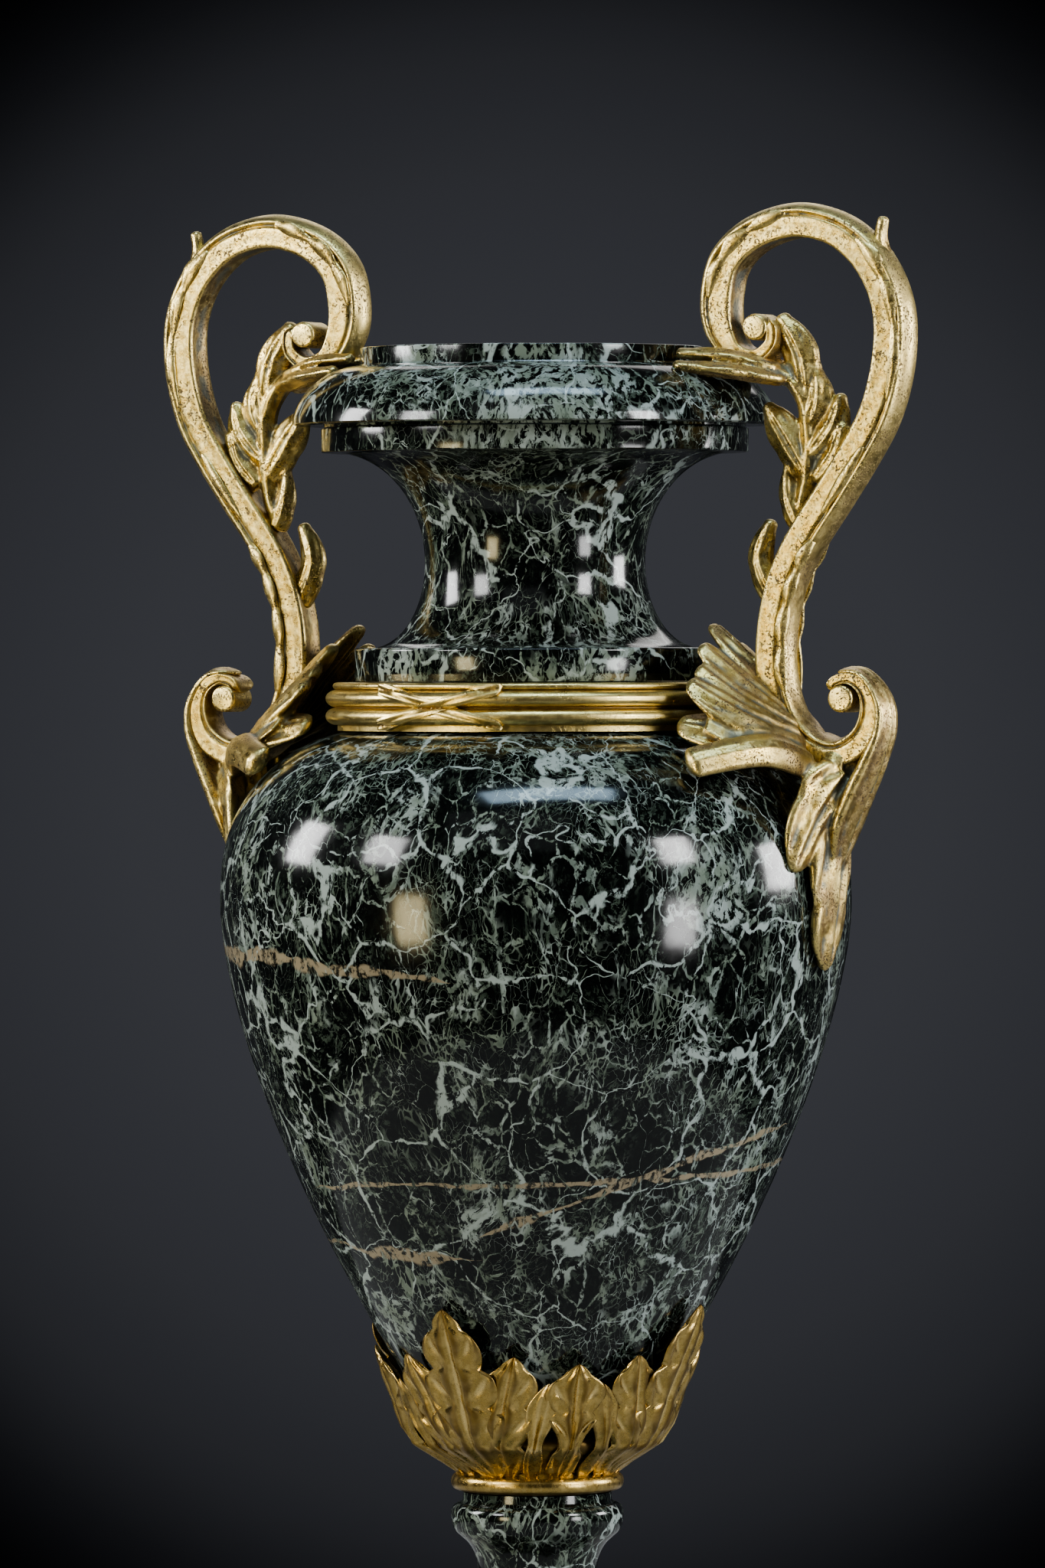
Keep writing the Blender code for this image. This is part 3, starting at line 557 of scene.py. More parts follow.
def fused(mesh: bpy.types.Mesh, grain: float, smooth: int, keep: float) -> bpy.types.Mesh:
    """One skin over all shapes of a mesh, as a casting has.

    Args:
        mesh: overlapping closed shapes. It is removed.
        grain: the size of the skin's facets.
        smooth: how often the skin is smoothed.
        keep: the share of its facets that is kept where it is flattest.

    Returns:
        The skin.
    """
    holder = bpy.data.objects.new("casting", mesh)
    bpy.context.scene.collection.objects.link(holder)
    skin = holder.modifiers.new("skin", "REMESH")
    skin.mode = "VOXEL"
    skin.voxel_size = grain
    skin.adaptivity = 0.0
    thinner = holder.modifiers.new("thinner", "DECIMATE")
    thinner.ratio = keep
    name = mesh.name
    made = bpy.data.meshes.new_from_object(holder.evaluated_get(bpy.context.evaluated_depsgraph_get()))
    bpy.data.objects.remove(holder)
    bpy.data.meshes.remove(mesh)
    made.name = name
    bm = bmesh.new()
    bm.from_mesh(made)
    for _ in range(smooth):
        bmesh.ops.smooth_vert(bm, verts=bm.verts, factor=0.5, use_axis_x=True, use_axis_y=True, use_axis_z=True)
    bmesh.ops.recalc_face_normals(bm, faces=bm.faces)
    bm.to_mesh(made)
    bm.free()
    return made


def mark_relief(mesh: bpy.types.Mesh, reach: float, rounds: int = 4) -> None:
    """Stores how far each point stands out of its surroundings: 0.5 on plain ground, less in recesses.

    Args:
        mesh: the mesh, which gets the attribute "relief".
        reach: the height that counts as full relief.
        rounds: how far round a point it looks, in edges.
    """
    count = len(mesh.vertices)
    points = np.empty(count * 3)
    mesh.vertices.foreach_get("co", points)
    normals = np.empty(count * 3, np.float32)
    mesh.vertex_normals.foreach_get("vector", normals)
    points, normals = points.reshape(-1, 3), normals.reshape(-1, 3)
    ends = np.empty(len(mesh.edges) * 2, int)
    mesh.edges.foreach_get("vertices", ends)
    a, b = ends.reshape(-1, 2).T
    near = np.maximum(1, np.bincount(a, minlength=count) + np.bincount(b, minlength=count))[:, None]

    def blurred(values: np.ndarray, times: int) -> np.ndarray:
        """Blends each point's values with those of its neighbours.

        Args:
            values: one row a point.
            times: how often they are blended.

        Returns:
            The blended rows.
        """
        for _ in range(times):
            total = np.stack(
                [np.bincount(a, values[b, k], count) + np.bincount(b, values[a, k], count)
                 for k in range(values.shape[1])], axis=1)
            values = 0.5 * values + 0.5 * total / near
        return values

    stand = ((points - blurred(points, 4 * rounds)) * normals).sum(axis=1, keepdims=True)
    relief = np.clip(0.5 + 0.5 * blurred(stand, 1)[:, 0] / reach, 0.0, 1.0)
    attribute = mesh.attributes.new("relief", "FLOAT", "POINT")
    attribute.data.foreach_set("value", relief.astype(np.float32))


def finish_piece(
    name: str, mesh: bpy.types.Mesh, nodes: Sequence[str], slot: Slot, material: bpy.types.Material,
    crease: float = 34.0,
) -> None:
    """Links a finished mesh as a piece of the urn.

    Args:
        name: the piece's name.
        mesh: its mesh, in the row's frame.
        nodes: the solids that it stands for.
        slot: not used.
        material: its material.
        crease: edges sharper than this many degrees stay crisp.
    """
    mesh.materials.clear()
    mesh.materials.append(material)
    mesh.shade_smooth()
    mesh.set_sharp_from_angle(angle=math.radians(crease))
    piece = bpy.data.objects.new(name, mesh)
    bpy.context.scene.collection.objects.link(piece)
    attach(piece, "root")
    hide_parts(*nodes)
    triangles = sum(len(face.vertices) - 2 for face in mesh.polygons)
    LOG.info("%s: %d triangles, for %s", name, triangles, ", ".join(nodes) or "no solid of its own")


def turn_piece(
    name: str, outline: Outline, node: str, slot: Slot, material: bpy.types.Material, ring: bool = False,
    reach: Optional[float] = None,
) -> None:
    """Turns a piece on the lathe and finishes it.

    Args:
        name: the piece's name.
        outline: (radius, height) points.
        node: the solid that it stands for.
        slot: the slot of its finish, passed on to finish_piece.
        material: its material.
        ring: whether the outline closes on itself, away from the axis.
        reach: the height that counts as full relief, on a piece whose finish reads it.
    """
    mesh = to_mesh(spun(outline, ring), name)
    if reach:
        mark_relief(mesh, reach)
    finish_piece(name, mesh, [node], slot, material)


@lru_cache(maxsize=100_000)  # many points of a leaf share a place along it
def smooth_line(points: tuple[tuple[float, ...], ...], share: float) -> np.ndarray:
    """A point on a smooth line through these points.

    Args:
        points: rows of numbers, all of one length.
        share: 0 for the first, 1 for the last.

    Returns:
        The numbers there.
    """
    rows = np.asarray(points, float)
    last = len(rows) - 1
    at = min(max(share, 0.0), 1.0) * last
    i = min(int(at), last - 1)
    t = at - i
    before, here, then = rows[max(i - 1, 0)], rows[i], rows[i + 1]
    after = rows[min(i + 2, last)]
    return 0.5 * (
        2 * here + (then - before) * t
        + (2 * before - 5 * here + 4 * then - after) * t * t
        + (3 * here - before - 3 * then + after) * t**3
    )


def along_row(values: tuple[float, ...], share: float) -> float:
    """A number on a smooth line through these."""
    return float(smooth_line(tuple((value,) for value in values), share)[0])


# Marble


@dataclass
class Plinth:
    """The square marble plinth."""

    bevel: float = 0.0015

    def build(self, finishes: Finishes) -> None:
        """Builds the plinth to its solid's box, its edges eased.

        Args:
            finishes: the urn's materials.
        """
        low, high = solid_box("plinth")
        bm = bmesh.new()
        size = Matrix.Diagonal((*(high - low), 1))
        bmesh.ops.create_cube(bm, size=1, matrix=Matrix.Translation((low + high) / 2) @ size)
        upper = [edge for edge in bm.edges if max(vert.co.z for vert in edge.verts) > (low + high).z / 2]
        eased(bm, upper, self.bevel, 5)
        lower = [edge for edge in bm.edges if all(abs(vert.co.z - low.z) < CLOSE for vert in edge.verts)]
        eased(bm, lower, self.bevel / 4, 2)
        finish_piece("square_plinth", to_mesh(bm, "square_plinth"), ["plinth"], Slot.MARBLE, finishes.marble)


@dataclass
class Stem:
    """Marble foot, stem and knop, turned in one."""

    foot_radius: float = 0.0420
    foot_roll: float = 0.0075
    step_radius: float = 0.0378
    step_height: float = 0.0022
    radius: float = 0.0163
    waist_height: float = 0.0450
    knop_radius: float = 0.0237
    knop_height: float = 0.0086
    knop_round: float = 0.0024
    fillet_radius: float = 0.0204
    fillet_height: float = 0.0030
    edge: float = 0.0008

    def outline(self) -> Outline:
        """The stem's outline, from its underside up to the cup."""
        low, high = solid_box("stem")
        foot, top = low.z, high.z
        knop_top = top - self.fillet_height
        knop_foot = knop_top - self.knop_height
        knop_z = knop_foot + self.knop_height * 2 / 3
        knop_in = self.knop_radius - self.knop_round
        roll = self.foot_roll / 2
        step_top = foot + self.foot_roll + self.step_height
        waist = foot + self.waist_height
        rolled = self.foot_radius - 2 * self.edge
        points = [(0, foot), (rolled, foot)]
        points += arc((rolled, foot + roll), (2 * self.edge, roll), -80, 90, 14)
        points += [(self.step_radius, foot + self.foot_roll), (self.step_radius, step_top)]
        reach = self.step_radius - self.radius
        points += arc((self.step_radius, waist), (reach, waist - step_top), 264, 180, 34)
        neck = self.knop_radius - self.radius
        points += arc((self.knop_radius, waist), (neck, knop_foot - waist), 180, 122, 16)[1:]
        points += arc((knop_in, knop_z), (self.knop_round, knop_z - knop_foot), -66, 0, 9)
        points += arc((knop_in, knop_z), (self.knop_round, knop_top - knop_z), 0, 90, 9)[1:]
        points += [(self.fillet_radius + 0.0006, knop_top), (self.fillet_radius, knop_top + self.edge)]
        return points + [(self.fillet_radius, top), (0, top)]

    def build(self, finishes: Finishes) -> None:
        """Turns the stem."""
        turn_piece("turned_stem", self.outline(), "stem", Slot.MARBLE, finishes.marble)


@dataclass
class Body:
    """The hollow marble body, with the collar that carries the neck."""

    belly_radius: float = 0.0866
    wall: float = 0.0090
    bottom_radius: float = 0.0180
    taper_height: float = 0.1570
    taper_curve: float = 1.56
    shoulder_height: float = 0.0482
    shoulder_radius: float = 0.0510
    shoulder_curve: tuple = (2.7, 0.66)
    floor: float = 0.0200
    collar_radius: float = 0.0450

    def radius(self, z: float) -> float:
        """The outside between the underside and the belt.

        Args:
            z: a height.

        Returns:
            The radius there.
        """
        belly = solid_box("body")[0].z + self.taper_height
        if z >= belly:
            up = min(1.0, (z - belly) / self.shoulder_height)
            swell = (1 - up ** self.shoulder_curve[0]) ** self.shoulder_curve[1]
            return self.shoulder_radius + (self.belly_radius - self.shoulder_radius) * swell
        down = min(1.0, (belly - z) / self.taper_height)
        return self.bottom_radius + (self.belly_radius - self.bottom_radius) * (1 - down**self.taper_curve)

    def outline(self) -> Outline:
        """Outside, collar and hollow inside."""
        low, high = solid_box("body")
        belly = low.z + self.taper_height
        shoulder = belly + self.shoulder_height
        outer = [(0, low.z)]
        outer += [(self.radius(z), z) for z in np.linspace(low.z, belly, 70)]
        ups = belly + self.shoulder_height * (1 - (1 - np.linspace(0, 1, 46)[1:]) ** 1.6)
        outer += [(self.radius(z), z) for z in ups]
        mouth = self.collar_radius - self.wall
        collar = [(self.collar_radius, shoulder), (self.collar_radius, high.z), (mouth, high.z)]
        floor = low.z + self.floor
        heights = np.linspace(belly + self.shoulder_height * 0.55, floor + 0.004, 40)
        inner = [(mouth, shoulder - self.wall / 2)] + [(self.radius(z) - self.wall, z) for z in heights]
        return outer + collar + inner + [(0, floor)]

    def build(self, finishes: Finishes) -> None:
        """Turns the body."""
        turn_piece("marble_body", self.outline(), "body", Slot.MARBLE, finishes.marble)


@dataclass
class Neck:
    """The marble neck: foot disc, waist and flange, round one bore."""

    disc_radius: float = 0.0495
    disc_height: float = 0.0091
    foot_radius: float = 0.0453
    radius: float = 0.0302
    bore: float = 0.0200
    lower_height: float = 0.0233
    head_radius: float = 0.0554
    flange_radius: float = 0.0586
    flange_height: float = 0.0066
    mouth_radius: float = 0.0400
    edge: float = 0.0008

    def outline(self) -> Outline:
        """The neck's outline, outside and inside."""
        low, high = solid_box("neck")
        foot, top = low.z, high.z
        disc = foot + self.disc_height
        waist = disc + self.lower_height
        flange = top - self.flange_height
        outer = [(self.disc_radius - 0.0002, foot), (self.disc_radius, foot + 0.0003)]
        outer += arc((self.disc_radius - self.edge, disc - self.edge), (self.edge, self.edge), 0, 90, 6)
        outer += arc((self.foot_radius, waist), (self.foot_radius - self.radius, waist - disc), 270, 180, 28)
        outer += arc((self.head_radius, waist), (self.head_radius - self.radius, flange - waist), 180, 90, 40)[1:]
        soft = self.edge / 2
        outer += arc((self.flange_radius - soft, flange + soft), (soft, soft), -90, 0, 5)
        outer += arc((self.flange_radius - soft, top - soft), (soft, soft), 0, 90, 5)
        inner = arc((self.mouth_radius, waist), (self.mouth_radius - self.bore, top - waist), 90, 180, 20)
        return outer + inner + [(self.bore, foot)]

    def build(self, finishes: Finishes) -> None:
        """Turns the neck."""
        turn_piece("marble_neck", self.outline(), "neck", Slot.MARBLE, finishes.marble, ring=True)


@dataclass
class Rim:
    """The marble rim: undercut, roll and lip."""

    radius: float = 0.0665
    roll_height: float = 0.0162
    roll_curve: tuple = (1.85, 0.56)
    lip_radius: float = 0.0479
    mouth_radius: float = 0.0400
    undercut_radius: float = 0.0578
    undercut: float = 0.0006
    edge: float = 0.0008

    def outline(self) -> Outline:
        """The rim's outline, outside and inside."""
        low, high = solid_box("rim")
        bottom = low.z + self.undercut
        roll_foot = self.lip_radius + self.edge
        points = [(self.undercut_radius, low.z), (self.undercut_radius, bottom), (self.radius - 0.0006, bottom)]
        for share in 1 - (1 - np.linspace(0, 1, 36)) ** 1.7:
            out = (1 - share ** self.roll_curve[0]) ** self.roll_curve[1]
            up = max(0.0004, self.roll_height * share)
            points.append((roll_foot + (self.radius - roll_foot) * out, bottom + up))
        lip = bottom + self.roll_height
        soft = self.edge * 0.6
        points += [(self.lip_radius + 0.0003, lip), (self.lip_radius, lip + 0.0004)]
        points += arc((self.lip_radius - soft, high.z - soft), (soft, soft), 0, 90, 6)
        points += arc((self.mouth_radius + soft, high.z - soft), (soft, soft), 90, 180, 6)
        return points + [(self.mouth_radius, low.z)]

    def build(self, finishes: Finishes) -> None:
        """Turns the rim."""
        turn_piece("marble_rim", self.outline(), "rim", Slot.MARBLE, finishes.marble, ring=True)


# Bronze rings


@dataclass
class FootRing:
    """The gilt ring under the foot: one round moulding between two small fillets."""

    fillet: float = 0.0009
    relief: float = 0.0006

    def build(self, finishes: Finishes) -> None:
        """Turns the ring.

        Args:
            finishes: the urn's materials.
        """
        low, high = solid_box("foot_ring")
        bulge = (high.z - low.z) / 2 - self.fillet
        middle = (high.z + low.z) / 2
        reach = high.x - bulge
        points = [(0, low.z), (reach, low.z), (reach, low.z + self.fillet)]
        points += arc((reach, middle), (bulge, bulge), -86, 86, 20)
        points += [(reach, high.z - self.fillet), (reach, high.z), (0, high.z)]
        turn_piece("foot_moulding", points, "foot_ring", Slot.GILT, finishes.rings, reach=self.relief)


@dataclass
class Belt:
    """The reeded belt, with ribbons crossed over it at the front and the back."""

    radius: float = 0.0576
    fillet_radius: float = 0.0543
    fillet_height: float = 0.0015
    small_reed: float = 0.0020
    small_bulge: float = 0.0013
    inner_radius: float = 0.0453
    ribbon_width: float = 0.0036
    ribbon_rise: float = 0.0007
    ribbon_half_turn: float = 20.0  # degrees
    turn: float = -3.0  # degrees from the handles
    relief: float = 0.0005
    ribbon_relief: float = 0.0004

    def reed(self) -> float:
        """Height of a full reed."""
        low, high = solid_box("belt")
        return (high.z - low.z - self.fillet_height - self.small_reed) / 2

    def outline(self) -> Outline:
        """The belt's outline: fillet, two full reeds, a small reed."""
        low, high = solid_box("belt")
        reed = self.reed()
        foot = low.z + self.fillet_height
        points = [(self.inner_radius, low.z), (self.fillet_radius, low.z), (self.fillet_radius, foot)]
        for i in range(2):
            middle = (self.fillet_radius, foot + reed * (i + 0.5))
            points += arc(middle, (self.radius - self.fillet_radius, reed / 2), -76, 76, 18)
        small = self.small_reed / 2
        points += arc((self.fillet_radius, high.z - small), (self.small_bulge, small), -70, 90, 10)
        return points + [(self.inner_radius, high.z)]

    def surface(self, z: float) -> float:
        """The reeds' face.

        Args:
            z: a height.

        Returns:
            The radius there.
        """
        reed = self.reed()
        up = z - solid_box("belt")[0].z - self.fillet_height
        if up < 0 or up > 2 * reed:
            return self.fillet_radius + self.small_bulge
        off = (up % reed) / reed * 2 - 1
        return self.fillet_radius + (self.radius - self.fillet_radius) * math.sqrt(max(0.0, 1 - off * off))

    def ribbon(self, side: float, lean: int) -> Shape:
        """One flat ribbon that lies slantwise over the reeds.

        Args:
            side: the angle of its middle, in degrees.
            lean: 1 or -1, the way it slants.

        Returns:
            The ribbon.
        """
        low, high = solid_box("belt")
        middle = (low.z + high.z) / 2
        reach = (high.z - low.z) / 2 - self.ribbon_width * 0.3

        def place(around: float, along: float) -> Vector:
            """A point of the ribbon's skin.

            Args:
                around: share round its section.
                along: share from end to end.

            Returns:
                The point.
            """
            share = 2 * along - 1
            edge = math.cos(2 * math.pi * around)
            over = math.sin(2 * math.pi * around) > 0
            ends = min(1.0, (1 - abs(share)) * 14) ** 0.5
            z = middle + reach * share * lean + edge * self.ribbon_width / 2 * ends
            z = min(high.z - 0.0003, max(low.z + 0.0003, z))
            base = 0.45 * self.surface(z) + 0.55 * (self.radius - 0.0002)
            rise = self.ribbon_rise * (1 - 0.35 * math.cos(math.pi * edge) ** 2) + (0.0004 if lean > 0 else 0.0)
            radius = base + rise * ends if over else self.fillet_radius - 0.0006
            angle = math.radians(side + self.ribbon_half_turn * share)
            return Vector((radius * math.cos(angle), radius * math.sin(angle), z))

        return wrapped(28, 90, place)

    def build(self, finishes: Finishes) -> None:
        """Turns the belt and lays its ribbons.

        Args:
            finishes: the urn's materials.
        """
        turn_piece("reeded_belt", self.outline(), "belt", Slot.GILT, finishes.rings, True, self.relief)
        ribbons = [self.ribbon(self.turn + side, lean) for side in (-90, 90) for lean in (1, -1)]
        mesh = gathered(ribbons, "crossed_ribbons")
        mark_relief(mesh, self.ribbon_relief)
        finish_piece("crossed_ribbons", mesh, [], Slot.GILT, finishes.rings)


# Leaves


def leaf_section(around: float, along: float, teeth: float, bite: float, veins: float) -> tuple[float, float, bool]:
    """The carving of an acanthus blade at one point.

    Args:
        around: share round the blade's section.
        along: share from root to tip.
        teeth: lobes along each edge.
        bite: how deep they are cut, as a share of the half width.
        veins: depth of the ribs between them, as a share of the thickness.

    Returns:
        (share of the half width, share of the half thickness, on the front face)
    """
    across = math.cos(2 * math.pi * around)
    front = math.sin(2 * math.pi * around) >= 0
    out = abs(across)
    phase = teeth * along + 0.08
    lobe = phase - math.floor(phase)
    notch = 1 - bite * (1 - min(1.0, lobe * 1.7)) ** 1.5 - 1.1 * bite * max(0.0, (lobe - 0.78) / 0.22) ** 2
    crown = 0.5 * (1 - out * out) + 0.5 * math.sqrt(max(0.0, 1 - out * out))
    groove = math.exp(-((out / 0.10) ** 2))
    rib = math.exp(-(((out - 0.24) / 0.12) ** 2))
    rim = math.exp(-(((out - 0.86) / 0.12) ** 2))
    hollow = math.exp(-(((out - 0.58) / 0.20) ** 2))
    slant = phase + 1.1 * (1 - out)
    off = abs(slant - round(slant))
    furrow = math.exp(-((off / 0.13) ** 2)) * min(1.0, out * 2.2) if teeth > 1.5 else 0.0
    carve = veins * (0.5 * rib + 0.45 * rim - groove - 0.55 * hollow - 0.8 * furrow)
    return across * notch, crown + carve, front


@dataclass(frozen=True)
class Blade:
    """A carved leaf of the handle, in the drawing's millimetres."""

    spine: tuple  # points (out, side, up) from root to tip
    widths: tuple  # half widths from root to tip
    depths: tuple  # thicknesses from root to tip
    facing: Point3  # the way its front looks
    teeth: float = 3.0
    bite: float = 0.14
    veins: float = 0.26

    def shape(self) -> Shape:
        """The blade as a closed shape."""
        facing = Vector(self.facing)

        def place(around: float, along: float) -> Vector:
            """A point of the blade's skin.

            Args:
                around: share round its section.
                along: share from end to end.

            Returns:
                The point.
            """
            here = Vector(smooth_line(self.spine, along))
            ahead = Vector(smooth_line(self.spine, along + 0.02)) - Vector(smooth_line(self.spine, along - 0.02))
            ahead.normalize()
            face = (facing - ahead * ahead.dot(facing)).normalized()
            aside = ahead.cross(face)
            width, depth = along_row(self.widths, along), along_row(self.depths, along)
            ends = min(1.0, along * 12, (1 - along) * 16) ** 0.5
            across, height, front = leaf_section(around, along, self.teeth, self.bite, self.veins)
            rise = (height if front else -height) * depth / 2 * ends
            return (here + aside * (across * width * ends) + face * rise) * MM

        return wrapped(32, 44, place)

    def mirrored(self) -> "Blade":
        """The same leaf on the handle's other side."""
        (*spine, facing) = ((out, -side, up) for out, side, up in (*self.spine, self.facing))
        return replace(self, spine=tuple(spine), facing=facing)


def both_sides(blades: Sequence[Blade]) -> list[Blade]:
    """Each blade and its mirror image."""
    return [made for blade in blades for made in (blade, blade.mirrored())]


@dataclass(frozen=True)
class CupLeaf:
    """One kind of leaf on the cup."""

    height: float  # of its tip above the ring
    widths: tuple  # half widths in millimetres, from root to tip
    depths: tuple  # thicknesses in millimetres
    teeth: float = 3.2  # lobes along each edge
    bite: float = 0.27  # how deep they are cut, as a share of the half width
    rise: float = 0.0006  # how much further off the marble it lies than the ground does
    veins: float = 0.42  # depth of its ribs, as a share of its thickness
    around: int = 72  # parts of its skin round the section
    along: int = 62  # and from root to tip


@dataclass
class LeafCup:
    """The gilt cup of acanthus leaves under the body."""

    body: Body
    turn: float = -4.0  # degrees from the handles
    ring_radius: float = 0.0237
    ring_height: float = 0.0052
    ring_bulge: float = 0.0017
    floor: float = 0.0028
    clearance: float = 0.0005
    waist_off: float = 0.0021
    hip_off: float = 0.0068
    leaf_off: float = 0.0040
    tip_off: float = 0.0012
    bowl_height: float = 0.0120
    root: float = -0.001  # height of the leaves' roots above the ring
    relief: float = 0.0009
    tall: CupLeaf = CupLeaf(0.0475, (4.5, 7.5, 9.5, 9.5, 8.0, 3.0), (1.4, 2.2, 2.4, 2.2, 1.9, 1.2), 4.4, 0.28, 0.0010)
    side: CupLeaf = CupLeaf(0.0345, (3.6, 5.4, 6.8, 7.6, 7.0, 2.6), (1.2, 1.9, 2.1, 2.0, 1.8, 1.2), rise=0.0002)
    low: CupLeaf = CupLeaf(0.0325, (4.4, 3.4, 3.4, 6.6, 7.2, 2.4), (1.4, 2.0, 2.2, 2.1, 1.9, 1.2))
    bud: CupLeaf = CupLeaf(0.0270, (2.2, 2.2, 1.6, 3.0, 3.8, 1.2), (1.2, 1.6, 1.6, 1.6, 1.4, 1.0), 1.0, 0.0,
                           veins=0.30, around=28, along=40)

    def off(self, up: float) -> float:
        """How far the leaves' ground stands off the marble.

        Args:
            up: height above the ring.

        Returns:
            The distance.
        """
        heights = (0.0, 0.0026, 0.0080, 0.0130, 0.0240, 0.0360, self.tall.height)
        offs = (0.0012, self.waist_off, self.hip_off, self.hip_off, self.leaf_off, 0.0026, self.tip_off)
        return float(np.interp(up, heights, offs))

    def bowl(self) -> Shape:
        """The ring, the floor and the low wall that all leaves grow from."""
        foot = solid_box("leaf_cup")[0].z
        ring_top = foot + self.ring_height
        half = self.ring_height / 2
        ring_in = self.ring_radius - self.ring_bulge
        points = [(0, foot), (ring_in - 0.0014, foot)]
        points += arc((ring_in, foot + half), (self.ring_bulge, half * 0.86), -80, 80, 18)
        ups = np.linspace(0.0006, self.bowl_height, 20)
        thinner = [0.0006 + 0.0050 * (up / self.bowl_height) ** 8 for up in ups]

        def off_marble(up: float, off: float) -> tuple[float, float]:
            """A point of the outline, this far off the marble."""
            return self.body.radius(ring_top + up) + off, ring_top + up

        points += [off_marble(up, self.off(up) - less) for up, less in zip(ups, thinner)]
        points += [off_marble(up, self.clearance) for up in ups[::-1]]
        inside = foot + self.floor
        return spun(points + [(self.body.radius(inside) + self.clearance, inside), (0, inside)], False)

    def leaf(self, kind: CupLeaf, degrees: float, lean: float) -> Shape:
        """One leaf that lies on the marble.

        Args:
            kind: which leaf it is.
            degrees: where its root is, round the urn.
            lean: how many degrees its tip is further round.

        Returns:
            The leaf.
        """
        ring_top = solid_box("leaf_cup")[0].z + self.ring_height

        def place(around: float, along: float) -> Vector:
            """A point of the leaf's skin.

            Args:
                around: share round its section.
                along: share from end to end.

            Returns:
                The point.
            """
            across, high, front = leaf_section(around, along, kind.teeth, kind.bite, kind.veins)
            width, depth = along_row(kind.widths, along) * MM, along_row(kind.depths, along) * MM
            ends = min(1.0, along * 10, (1 - along) * 14) ** 0.5
            curl = width * across * across
            up = self.root + (kind.height - self.root) * along - 0.10 * curl
            base = self.body.radius(ring_top + up)
            off = self.clearance + self.off(up) + kind.rise + 0.12 * curl * min(1.0, along * 2)
            radius = base + off + (high * depth * ends if front else -abs(high) * depth * 0.4 * ends)
            radius = max(radius, base + self.clearance * 0.6)
            angle = math.radians(degrees + lean * along + self.turn) + across * width * ends / base
            return Vector((radius * math.cos(angle), radius * math.sin(angle), ring_top + up))

        return wrapped(kind.around, kind.along, place)

    def shapes(self) -> list[Shape]:
        """The bowl and every leaf."""
        made = [self.bowl()]
        for corner in (0, 90, 180, 270):
            made.append(self.leaf(self.tall, corner, 0))
            for way in (1, -1):
                made.append(self.leaf(self.side, corner + way * 8, way * 14))
                made.append(self.leaf(self.bud, corner + 45 + way * 19.5, way * -9))
            made.append(self.leaf(self.low, corner + 45, 0))
        return made

    def build(self, finishes: Finishes) -> None:
        """Sets the leaves round the bowl. Each keeps its own chased skin.

        Args:
            finishes: the urn's materials.
        """
        mesh = gathered(self.shapes(), "acanthus_cup")
        mark_relief(mesh, self.relief)
        finish_piece("acanthus_cup", mesh, ["leaf_cup"], Slot.GILT, finishes.cup, crease=60)


